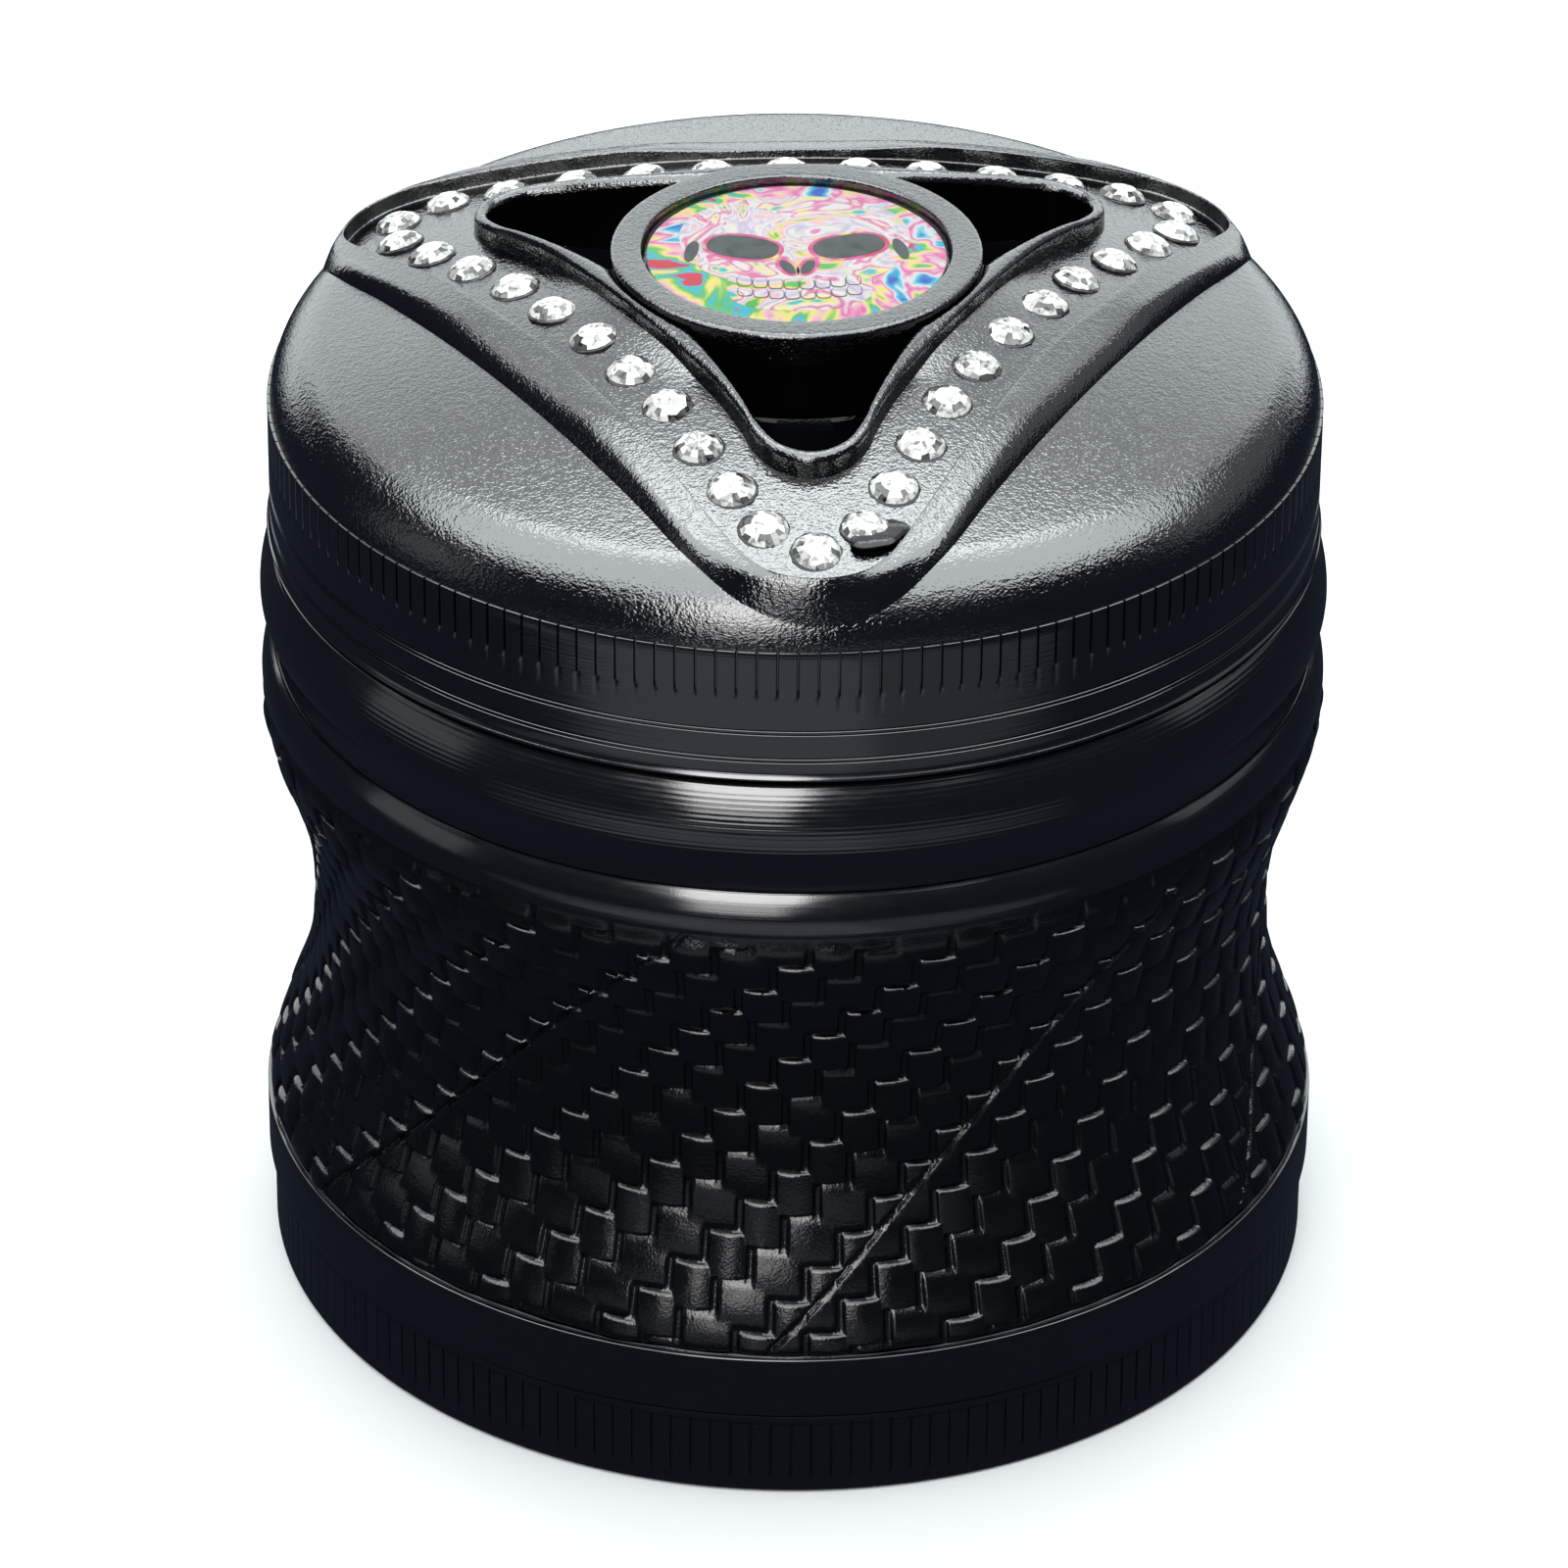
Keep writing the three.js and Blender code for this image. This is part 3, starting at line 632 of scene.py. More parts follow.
def ridge_rings(foot, crest, channel):
    """Steep flank up from the dome, rolled crest, and the wall down to the stones' channel."""
    bend_up, roll, edge, fillet, wall = 0.86, 0.1, 0.14, 0.12, 0.06
    bend_slope = np.tan(np.radians(68 - 9 * smoothstep(26.5, 29.5, crest)))
    foot_height, crest_top = dome_height(foot), crest_height(crest) - roll
    width, rise = crest - foot, crest_top - foot_height
    bend_in = np.minimum(rise * bend_up / bend_slope / -width, 0.6)
    profile = []
    for t in (0.03, 0.1, 0.2, 0.3, 0.4, 0.48, 0.56, 0.64, 0.74, 0.86, 1.0):
        share_in = 2 * t * (1 - t) * bend_in + t * t
        share_up = 2 * t * (1 - t) * bend_up + t * t
        profile.append((foot + width * share_in, foot_height + rise * share_up))
    for share in (0.25, 0.5, 0.75):
        radius = crest + (channel + edge - crest) * share
        profile.append((radius, crest_height(radius) - roll * (1 - share) ** 2))
    floor, top = channel_floor(channel), crest_height(channel)
    for turn in np.radians([0, 22, 45, 68, 90]):
        profile.append((channel + edge * (1 - math.sin(turn)), top - edge * (1 - math.cos(turn))))
    profile.append((channel - 0.04, (top + floor) / 2))
    for turn in np.radians([0, 30, 60, 90]):
        radius = channel - wall - fillet * (1 - math.cos(turn))
        profile.append((radius, floor + fillet * (1 - math.sin(turn))))
    return rounded(profile, AT)


def channel_rings(outer, inner):
    radii = [outer + (inner - outer) * share for share in (0.12, 0.3, 0.5, 0.7, 0.88)]
    return rounded([(radius, channel_floor(radius)) for radius in radii], AT)


def rib_rings(outer, pocket):
    """The rib round the pockets: upright walls and a half-round top."""
    floor, lean = channel_floor(outer), 0.03
    rise = frame_height(RIB_TOP, outer) - floor
    profile = [(outer - lean * lift, floor + rise * lift) for lift in (0.0, 0.08, 0.3, 0.5)]
    for turn in np.radians([0, 10, 22, 36, 50, 64, 78, 90, 102, 116, 132, 148, 162, 172]):
        across = (1 - math.cos(turn)) / 2
        lift = WALL_SHARE + (1 - WALL_SHARE) * math.sin(turn)
        profile.append((outer - lean + (pocket - outer + lean) * across, floor + rise * lift))
    return rounded(profile, AT)


def pocket_rings(pocket, closed_share):
    """Walls and floor of the pockets. Where a pocket is closed, its floor is level with the rib."""
    rim = channel_floor(pocket) + (frame_height(RIB_TOP, pocket) - channel_floor(pocket)) * WALL_SHARE
    floor = POCKET_FLOOR + (rim - 0.05 - POCKET_FLOOR) * closed_share
    profile = [(pocket, rim + (floor - rim) * share) for share in (0.15, 0.4, 0.7, 0.93)]
    profile += [(pocket + (BOSS_RADIUS - pocket) * share, floor) for share in (0.03, 0.25, 0.5, 0.75, 0.97)]
    return rounded(profile, AT), floor


def boss_rings(floor):
    """The ring round the medallion, its rounded edges and the recess inside it."""
    outer_edge, inner_edge = 0.3, 0.15
    edge_height = RING_TOP - outer_edge
    profile = [(BOSS_RADIUS, floor + (edge_height - floor) * share) for share in (0.03, 0.35, 0.7, 1.0)]
    profile += arc(BOSS_RADIUS - outer_edge, edge_height, outer_edge, 15, 90, 6)
    profile += [(BOSS_RADIUS - 0.7, RING_TOP), (RECESS_RADIUS + 0.5, RING_TOP)]
    profile += arc(RECESS_RADIUS + inner_edge, RING_TOP - inner_edge, inner_edge, 90, 180, 4)
    profile += [(RECESS_RADIUS, MEDALLION_SEAT + 0.1), (RECESS_RADIUS - 0.1, MEDALLION_SEAT)]
    return rounded(profile + [(5.0, MEDALLION_SEAT)], AT)


def tooth(skin, radius, turn, root, tip, slot=0):
    """A diamond-section tooth with softened edges and a chamfered point."""
    half_radial, half_tangent, cut = 1.42, 1.85, 0.12
    corners = np.array([(half_radial, 0), (0, half_tangent), (-half_radial, 0), (0, -half_tangent)])
    before, after = np.roll(corners, 1, 0), np.roll(corners, -1, 0)
    section = np.stack([corners + (near - corners) * cut for near in (before, after)], 1).reshape(-1, 2)
    rotation = np.array([[math.cos(turn), math.sin(turn)], [-math.sin(turn), math.cos(turn)]])
    sign = 1 if tip > root else -1
    levels = [(1.12, root - 0.4 * sign), (1.12, root), (1.0, root + 0.35 * sign), (1.0, tip - 1.1 * sign)]
    levels += [(0.93, tip - 0.9 * sign), (0.42, tip - 0.06 * sign), (0.34, tip)]
    rings = []
    for scale, height in levels[::sign]:
        flat = (section * scale + [radius, 0]) @ rotation
        rings.append(np.column_stack([flat, np.full(len(flat), height)]))
    skin.capped(rings, slot)


LID_TEETH = [(7, 10.4, 0.0), (14, 19.05, 0.5)]
CHAMBER_TEETH = [(10, 14.7, 0.0), (17, 23.4, 0.0)]
TOOTH_LENGTH = 8.4


def teeth(skin, circles, root, tip, slot=0):
    for count, radius, phase in circles:
        for i in range(count):
            tooth(skin, radius, (i + phase) * TAU / count, root, tip, slot)


def lid_casting():
    """Machined skirt and bore in one material, the cast dome and frame in another, and the pockets with the
    foot of the middle ring in a copy of the cast coat with weak reflections, which is painted shade.
    """
    outlines = (FOOT, CREST, CHANNEL_OUTER, RIB_FOOT, POCKET)
    foot, crest, outer, inner, pocket = (outline_radius(*outline) for outline in outlines)
    pocket = np.maximum(pocket, BOSS_RADIUS + 0.05)
    closed_share = 1 - smoothstep(0.12, 0.4, pocket - BOSS_RADIUS)
    cast, turned, painted_shade_slot = 0, 1, 2
    painted_shade_boss_rings = 3
    skin = Skin()
    machined = rounded(lid_underside() + lid_skirt(), AT)
    machined += knurl_rings(LID_RADIUS, KNURL_BOTTOM, KNURL_TOP, KNURL_DEPTH, edge=0.06)
    pockets, floor = pocket_rings(pocket, closed_share)
    boss = boss_rings(floor)
    frame_top = ridge_rings(foot, crest, outer) + channel_rings(outer, inner) + rib_rings(inner, pocket)
    lower = skin.stack(machined, slot=turned)
    upper = skin.stack(dome_rings(foot) + frame_top, slot=cast)
    # Painted shade: the pockets and the foot of the middle ring take the copy of the cast coat with weak
    # reflections.
    sunk = skin.stack(pockets + boss[:painted_shade_boss_rings], slot=painted_shade_slot)
    middle = skin.stack(boss[painted_shade_boss_rings:], slot=cast)
    skin.band(lower[-1], upper[0], turned)
    skin.band(upper[-1], sunk[0], painted_shade_slot)
    skin.band(sunk[-1], middle[0], cast)
    skin.cap(lower[0], False, turned)
    skin.cap(middle[-1], True, cast)
    teeth(skin, LID_TEETH, LID_CEILING, LID_CEILING - TOOTH_LENGTH, turned)
    place(skin.build("lid_cast_metal", [CAST, ANODISED, CAST_PAINTED_SHADE]), "lid", "cast_black", "lid_casting")


# ---- stones
STONE_PLACES = [(27.2, 0), (25.4, 2.9), (22.2, 4.65), (18.5, 6.4), (14.6, 8.1), (10.9, 10.1), (7.05, 12.2)]
STONE_RADIUS = 1.4
STONE_SIDES = 8


def stone(name):
    """The part of a cut stone that shows: girdle, facets and table, over a mirrored back."""
    skin = Skin()
    count = 2 * STONE_SIDES
    at = angles(count)
    even = np.arange(count) % 2 == 0
    girdle, table = STONE_RADIUS, STONE_RADIUS * 0.56
    star = np.where(even, table, table * 0.985)
    middle = np.where(even, girdle * 0.80, girdle * 0.87)
    middle_height = np.where(even, 0.36, 0.27)
    rings = [circle(girdle, -0.02, at), circle(girdle, 0.07, at), circle(middle, middle_height, at)]
    made = skin.stack(rings + [circle(star, 0.52, at)])
    skin.cap(made[-1], True)
    # Painted reflections: each facet is dealt a lighter or darker copy of the glass at random; the girdle
    # mostly gets the darkest, a painted shade round the rim, and the table mostly the lightest, a painted
    # highlight.
    girdle_shades, crown_shades, table_shades = (2, 2, 1), (0, 0, 1, 2), (0, 0, 0, 1)
    shades = [girdle_shades] * count + [crown_shades] * 2 * count + [table_shades] * count
    skin.slots = [chance.choice(options) for options in shades]
    lower = skin.ring(circle(girdle * 0.5, -0.35, at))
    skin.band(lower, made[0], 3)
    skin.cap(lower, False, 3, lift=-0.15)
    return skin.build(name, CRYSTAL_PAINTED_LIGHT + [FOIL], sharp=1.0)


def glue_bed(name, radius):
    """A low uneven ring of glue round the foot of a stone."""
    skin = Skin()
    at = angles(28)
    swell = np.array([1 + 0.07 * chance.random() for _ in at])
    profile = [(radius * 0.6, -0.1), (radius + 0.08, -0.1), (radius + 0.06, 0.03), (radius - 0.04, 0.09)]
    skin.capped([circle(r * swell, z, at) for r, z in profile + [(radius * 0.7, 0.1)]])
    return skin.build(name, [GLUE])


def stones():
    inner = STONE_PLACES[1:-1]
    one_arm = [(along, -across) for along, across in inner[::-1]] + STONE_PLACES
    models = [stone(f"stone_model_{i}") for i in range(9)]
    bed = glue_bed("glue_model", STONE_RADIUS)
    number = 0
    for arm in range(ARMS):
        turn = Matrix.Rotation(FRONT + arm * TAU / ARMS, 3, "Z")
        for along, across in one_arm:
            number += 1
            spot = turn @ Vector((along, across, 0))
            normal = Vector((spot.x, spot.y, FRAME_CURVE / 2)).normalized()
            lean = Vector((chance.uniform(-0.08, 0.08), chance.uniform(-0.08, 0.08), 0))
            spot.z = float(channel_floor(spot.length))
            tilt = Vector((0, 0, 1)).rotation_difference((normal + lean).normalized())
            spin = Quaternion((0, 0, 1), chance.uniform(0, TAU))
            turned = (tilt @ spin).to_matrix().to_4x4()
            for source, label, height in ((models[number % 9], "stone", 0.06), (bed, "stone_glue", 0.0)):
                mesh = source.data.copy()
                mesh.transform(Matrix.Translation((spot + normal * height) * MM) @ turned)
                nodes = [f"rhinestone_{number:02d}"] if label == "stone" else []
                place(linked(f"{label}_{number:02d}", mesh), "lid", "crystal", *nodes)
    for model in models + [bed]:
        bpy.data.objects.remove(model)
    glue_blob()


def glue_blob():
    """Clear glue that ran out beside one stone of the front arm."""
    along, across = 25.6, 3.35
    at = angles(36)
    wobble = 1 + 0.12 * np.sin(3 * at + 1) + 0.07 * np.sin(5 * at)
    floor = float(channel_floor(math.hypot(along, across)))
    profile = ((1.75, -0.1), (1.8, 0.04), (1.7, 0.14), (1.45, 0.24), (0.6, 0.3))
    rings = [circle(r * wobble, floor + z, at) + [across, -along, 0] for r, z in profile]
    shell("glue_run", rings, GLUE, "lid", "crystal", lift=0.01)


# ---- medallion
def oval(x, y, half_width, half_height, power=2.0, lean=0.0, count=48):
    """Points of a superellipse, counter-clockwise, leaning by an angle."""
    at = np.arange(count) * TAU / count
    across = half_width * np.sign(np.cos(at)) * np.abs(np.cos(at)) ** (2 / power)
    up = half_height * np.sign(np.sin(at)) * np.abs(np.sin(at)) ** (2 / power)
    cos, sin = math.cos(lean), math.sin(lean)
    return np.column_stack([x + across * cos - up * sin, y + across * sin + up * cos])


def raised_oval(skin, bottom, thickness, ink, *shape):
    """A thin raised oval with a slightly smaller top, for one area of the print."""
    outline = oval(*shape)
    centre = outline.mean(0)
    rings = []
    for scale, height in ((1.0, bottom), (0.985, bottom + thickness)):
        flat = centre + (outline - centre) * scale
        rings.append(np.column_stack([flat, np.full(len(flat), height)]))
    skin.capped(rings, ink)


def medallion_print(radius, base, top):
    """A marbled print of a plain skull, laid out symmetrically with simple ovals."""
    ground, bone, shadow, blush = range(4)
    level = top - 0.01
    skin = Skin()
    profile = [(radius - 0.05, base), (radius, base + 0.05), (radius, top - 0.04), (radius - 0.05, top)]
    skin.capped(rounded(profile + [(radius * 0.5, top)], angles(96)), ground)
    raised_oval(skin, level, 0.03, bone, 0, 2.3, 6.9, 5.3, 2.2)
    raised_oval(skin, level, 0.036, bone, 0, -4.0, 4.3, 3.0, 2.6)
    for side in (-1, 1):
        raised_oval(skin, level, 0.033, bone, side * 4.1, -1.5, 1.9, 1.3, 2.2, side * 0.6)
        raised_oval(skin, level, 0.048, blush, side * 3.15, 1.0, 2.5, 1.7, 2.3, side * 0.32)
        raised_oval(skin, level, 0.066, shadow, side * 3.15, 1.0, 2.2, 1.4, 2.5, side * 0.32)
        raised_oval(skin, level, 0.048, blush, side * 0.62, -1.55, 0.62, 1.25, 2.0, side * -0.35)
        raised_oval(skin, level, 0.066, shadow, side * 0.6, -1.6, 0.36, 0.95, 2.0, side * -0.35)
        raised_oval(skin, level, 0.06, shadow, side * 6.2, 0.6, 0.4, 1.3, 2.0, side * 0.2)
    for row, half in ((-3.75, 0.62), (-5.05, 0.55)):
        for x in (np.arange(8) - 3.5) * 0.92:
            y = row + 0.045 * x * x
            raised_oval(skin, level, 0.054, shadow, x, y, 0.46, half + 0.05, 3.2)
            raised_oval(skin, level, 0.078, bone, x, y, 0.41, half, 3.2)
    place(skin.build("medallion_print", INKS), "lid", "medallion_print", "medallion_disc")


def medallion_lens(radius, bottom):
    rim, swell = 0.06, 0.26
    profile = [(radius + 0.05, bottom), (radius + 0.1, bottom + 0.08)]
    for share in np.linspace(0.995, 0.05, 14):
        profile.append((radius * share, bottom + rim + swell * (1 - share**2)))
    rings = rounded(profile, angles(96))
    shell("medallion_lens", rings, RESIN, "lid", "clear_resin", "medallion_dome")


def medallion():
    radius, base = RECESS_RADIUS - 0.3, MEDALLION_SEAT + 0.02
    top = base + DISC_THICKNESS
    medallion_print(radius, base, top)
    medallion_lens(radius, top + 0.09)


# ---- threads and the chamber
def thread_rings(radius, bottom, top, outward):
    """Rings of a screw thread. The crest stays at the given radius and the root is cut beyond it."""
    at = angles(240)
    depth, fade = 0.5, 0.5
    rings = []
    for height in np.linspace(bottom, top, int(abs(top - bottom) / 0.16) + 1):
        phase = (height / THREAD_PITCH - (at - FRONT) / TAU) % 1
        root = smoothstep(0.18, 0.34, np.abs(phase - 0.5)) * depth
        end = min(1.0, abs(height - bottom) / fade, abs(top - height) / fade)
        rings.append(circle(radius - (1 if outward else -1) * root * end, height, at))
    return rings


FINE, COARSE = angles(480), angles(240)
BULGE_MIDDLE = 45.3
BULGE_CURVE_UP, BULGE_CURVE_DOWN = 6.0, 2.5
COVE_DEPTH = 0.66
LATHE_PITCH, LATHE_DEPTH = 0.29, 0.006
CHAMBER_RIM = LID_BOTTOM - 0.15


def chamber_metal():
    """Outside, threaded collar below and plain collar above: one closed ring."""
    seam = DRUM_TOP + 0.05
    collar_bottom, collar_top = CHAMBER_LOW[2], CHAMBER_HIGH[2]
    thread_radius = 28.95
    collar_bore = 27.0
    cove_bottom, cove_top = seam + 0.12, BULGE_MIDDLE - 0.75
    outside = [(SEAM_RADIUS - 0.12, seam), (SEAM_RADIUS - 0.02, seam + 0.03), (SEAM_RADIUS, cove_bottom)]
    for share in np.linspace(0.08, 1, 16):
        height = cove_bottom + (cove_top - cove_bottom) * share
        outside.append((SEAM_RADIUS + COVE_DEPTH * share**1.7, height))
    for height in np.arange(cove_top + 0.12, LID_BOTTOM - 0.4, LATHE_PITCH / 6):
        curve = BULGE_CURVE_UP if height > BULGE_MIDDLE else BULGE_CURVE_DOWN
        swell = BULGE_RADIUS - curve + math.sqrt(curve**2 - (height - BULGE_MIDDLE) ** 2)
        outside.append((swell + LATHE_DEPTH * math.cos(height * TAU / LATHE_PITCH), height))
    outside += [(LID_RADIUS + 0.1, CHAMBER_RIM - 0.12), (LID_RADIUS - 0.1, CHAMBER_RIM)]
    inside = [(COLLAR_RADIUS + 0.3, CHAMBER_RIM), (COLLAR_RADIUS, CHAMBER_RIM + 0.3)]
    inside += line((COLLAR_RADIUS, CHAMBER_RIM + 1), (COLLAR_RADIUS, collar_top - 0.5), 4)
    inside += arc(COLLAR_RADIUS - 0.4, collar_top - 0.4, 0.4, 0, 90, 4)
    inside += arc(GRIND_RADIUS + 0.3, collar_top - 0.3, 0.3, 90, 180, 4)
    inside += line((GRIND_RADIUS, collar_top - 1), (GRIND_RADIUS, PLATE_TOP + 0.4), 4)
    inside += [(GRIND_RADIUS, PLATE_TOP - 0.2), (GRIND_RADIUS, PLATE_BOTTOM), (collar_bore, PLATE_BOTTOM)]
    inside += [(collar_bore, collar_bottom + 0.3), (collar_bore + 0.25, collar_bottom)]
    below = [(thread_radius - 0.55, collar_bottom), (thread_radius - 0.5, collar_bottom + 0.1)]
    skin = Skin()
    rings = rounded(below, COARSE) + thread_rings(thread_radius, collar_bottom + 0.15, seam - 0.25, True)
    rings += rounded([(thread_radius, seam)], COARSE) + rounded(outside, FINE) + rounded(inside, COARSE)
    skin.stack(rings, closed=True)
    return skin


HOLES = [(9, 10.4), (18, 19.05)]
HOLE_RADIUS = 1.8


def round_spline(curve, centre, radius, count):
    spline = curve.splines.new("POLY")
    spline.points.add(count - 1)
    for i, point in enumerate(spline.points):
        at = i * TAU / count
        point.co = (centre[0] + radius * math.cos(at), centre[1] + radius * math.sin(at), 0, 1)
    spline.use_cyclic_u = True


def plate_mesh():
    """The grinding plate with its drop holes, filled between circles and given soft edges."""
    bevel = 0.18
    curve = bpy.data.curves.new("plate_outline", "CURVE")
    curve.dimensions = "2D"
    curve.fill_mode = "BOTH"
    curve.bevel_depth = bevel
    curve.bevel_resolution = 2
    curve.extrude = (PLATE_TOP - PLATE_BOTTOM) / 2 - bevel
    round_spline(curve, (0, 0), GRIND_RADIUS - 0.12, 160)
    for count, radius in HOLES:
        for i in range(count):
            at = (i + 0.5) * TAU / count
            round_spline(curve, (radius * math.cos(at), radius * math.sin(at)), HOLE_RADIUS + bevel, 32)
    source = linked("plate_outline", curve)
    shape = source.evaluated_get(bpy.context.evaluated_depsgraph_get())
    mesh = bpy.data.meshes.new_from_object(shape)
    bpy.data.objects.remove(source)
    mesh.transform(Matrix.Translation((0, 0, (PLATE_TOP + PLATE_BOTTOM) / 2)))
    return mesh


def grinding_chamber():
    skin = chamber_metal()
    skin.take(plate_mesh())
    post_top = PLATE_TOP + 7.6
    recess = MAGNET_RADIUS + 0.1
    profile = [(POST_RADIUS - 0.3, PLATE_TOP - 0.5), (POST_RADIUS + 0.5, PLATE_TOP - 0.05)]
    profile += arc(POST_RADIUS + 0.5, PLATE_TOP + 0.45, 0.5, 270, 180, 4)
    profile += [(POST_RADIUS, post_top - 0.3), (POST_RADIUS - 0.3, post_top), (recess + 0.15, post_top)]
    profile += [(recess, post_top - 0.15), (recess, post_top - MAGNET_HEIGHT - 0.1)]
    skin.capped(rounded(profile, angles(72)))
    teeth(skin, CHAMBER_TEETH, PLATE_TOP, PLATE_TOP + TOOTH_LENGTH)
    place(skin.build("chamber_metal", [ANODISED]), "chamber", "anodised_black", "grinding_chamber")


# ---- drum
def waist_radius(height):
    """Outer radius of the leather: an hourglass that swells to the bead above and the flange below."""
    height = np.asarray(height, float)
    upper = np.clip((height - WAIST_HEIGHT) / UPPER_FLARE_LENGTH, 0, 1) ** UPPER_FLARE_POWER
    lower = np.clip((WAIST_HEIGHT - height) / LOWER_FLARE_LENGTH, 0, 1) ** LOWER_FLARE_POWER
    swell = UPPER_FLARE * np.sin(upper * math.pi / 2) ** 2 + LOWER_FLARE * np.sin(lower * math.pi / 2) ** 2
    return WAIST_RADIUS + swell


BEAD = 3.6
BEAD_RADIUS = 32.2
BEAD_MIDDLE = 39.6
LEATHER_TOP = WRAP_HIGH[2] - 0.4


def drum_metal():
    flange_bottom, flange_top = BASE_TOP + 0.2, WRAP_LOW[2] - 0.1
    thread_radius, bore, store, screen_bore = 29.55, 29.3, 26.4, 27.9
    step, ledge, seat = 36.2, 10.4, 9.0
    outside = [(FLANGE_RADIUS - 0.25, flange_bottom)]
    outside += arc(FLANGE_RADIUS - 0.18, flange_bottom + 0.18, 0.18, -90, 0, 4)
    outside += line((FLANGE_RADIUS, flange_bottom + 0.6), (FLANGE_RADIUS, flange_top - 0.4), 4)
    outside += arc(FLANGE_RADIUS - 0.08, flange_top - 0.08, 0.08, 0, 90, 4)
    inset = LEATHER_THICKNESS + 0.1
    outside += [(float(waist_radius(z)) - inset, z) for z in np.linspace(flange_top, LEATHER_TOP, 24)]
    outside += arc(BEAD_RADIUS - BEAD, BEAD_MIDDLE, BEAD, -6.5, 37, 16)
    outside += [(SEAM_RADIUS + 0.03, DRUM_TOP - 0.12), (SEAM_RADIUS - 0.02, DRUM_TOP - 0.03)]
    outside += [(SEAM_RADIUS - 0.12, DRUM_TOP)]
    inside = [(bore + 0.35, DRUM_TOP), (bore, DRUM_TOP - 0.3)]
    lower = [(bore, step + 0.2), (bore - 0.2, step), (store + 0.3, step), (store, step - 0.3)]
    lower += line((store, 34), (store, 12), 6)
    lower += [(store, 11.5), (store - 0.8, ledge), (store - 0.8, seat + 0.15), (store - 0.65, seat)]
    lower += [(screen_bore, seat), (screen_bore, DRUM_LOW[2] + 0.2), (screen_bore + 0.2, DRUM_LOW[2])]
    below = [(thread_radius - 0.6, DRUM_LOW[2]), (thread_radius - 0.5, DRUM_LOW[2] + 0.15)]
    rings = rounded(below, COARSE)
    rings += thread_rings(thread_radius, DRUM_LOW[2] + 0.2, flange_bottom - 0.25, True)
    rings += rounded([(thread_radius, flange_bottom)], COARSE) + rounded(outside, FINE)
    rings += rounded(inside, COARSE) + thread_rings(bore, DRUM_TOP - 0.6, step + 0.4, False)
    rings += rounded(lower, COARSE)
    shell("drum_metal", rings, ANODISED, "drum", "anodised_black", "drum_body", closed=True)


# ---- leather
COLUMNS = 96
PANELS = 6
SEAM_FOOT = math.radians(-95.2)
SEAM_SLOPE = math.radians(1.77)
UNIT = 2.04
RELIEF = 0.36
WALL = 0.07
WARP_X, WARP_Y = 0.61, 0.72
WEFT_X, WEFT_Y = 0.74, 0.78
RELIEF_MIDDLE = 0.65
SEAM_WIDTH, SEAM_DEPTH, SEAM_LEAN = 0.12, 0.04, 0.73


def pillow(x, y, half_x, half_y, sag_x, sag_y):
    """Height of a pillow of the embossing, 0 outside it: a bowed top and steep sides."""
    beyond_x, beyond_y = np.abs(x) - half_x + WALL, np.abs(y) - half_y + WALL
    side = 1 - smoothstep(0, WALL, np.hypot(np.clip(beyond_x, 0, None), np.clip(beyond_y, 0, None)))
    return side * (1 - sag_x * (x / half_x) ** 2 - sag_y * (y / half_y) ** 2)


def twill(column, row):
    """Height of a 2/2 twill, 0 to 1, whose diagonals rise to the right."""
    height = np.zeros(np.broadcast(column, row).shape)
    for shift in (-1, 0, 1):
        warp = np.floor(column) + shift
        x = column - warp - 0.5
        y = (row - warp + 1) % 4 - 2
        height = np.maximum(height, pillow(x, y, WARP_X, WARP_Y, 0.5, 0.1))
        weft = np.floor(row) + shift
        y = row - weft - 0.5
        x = (column - weft) % 4 - 2
        height = np.maximum(height, 0.78 * pillow(x, y, WEFT_X, WEFT_Y, 0.15, 0.5))
    return height


def steps_in_unit(edges):
    """Places in one unit of the pattern, from 0 to 1, with three at each steep side of a pillow."""
    places = {0.0, 0.5}
    for outer, inner in edges:
        places |= {outer % 1, (outer + inner) / 2 % 1, inner % 1}
    places = sorted(places)
    gaps = zip(places, places[1:] + [1.0])
    return np.array(sorted(places + [(low + high) / 2 for low, high in gaps if high - low > 1.5 * WALL]))


def seam_share(at, height):
    """Position in the row of slanting leather panels: whole numbers lie on the joints."""
    return (at - SEAM_FOOT - SEAM_SLOPE * (height - WRAP_LOW[2])) * PANELS / TAU


def wander(waves, at):
    """A sum of sines round the axis with random phases, from pairs of wave count and amplitude."""
    return sum(amplitude * np.sin(wave * at + chance.uniform(0, TAU)) for wave, amplitude in waves)


def leather_ring(level, share, ends, at, column_at, shifts, length):
    """One ring of the embossing. Level counts pattern units up from the lower edge."""
    height = ends[0] + (ends[1] - ends[0]) * share
    position = seam_share(at, height)
    column = column_at + shifts[np.floor(position).astype(int) % PANELS]
    radius = waist_radius(height)
    away = np.abs(position - np.round(position)) * radius * TAU / PANELS * SEAM_LEAN
    cut = np.exp(-((away / SEAM_WIDTH) ** 2))
    from_bottom, from_top = level * UNIT, length - level * UNIT
    press = smoothstep(0.0, 0.2, from_bottom) * smoothstep(0.0, 1.4, from_top)
    relief = RELIEF * (twill(column, level) * press * (1 - cut) - RELIEF_MIDDLE) - SEAM_DEPTH * cut
    return circle(radius + relief, height, at)


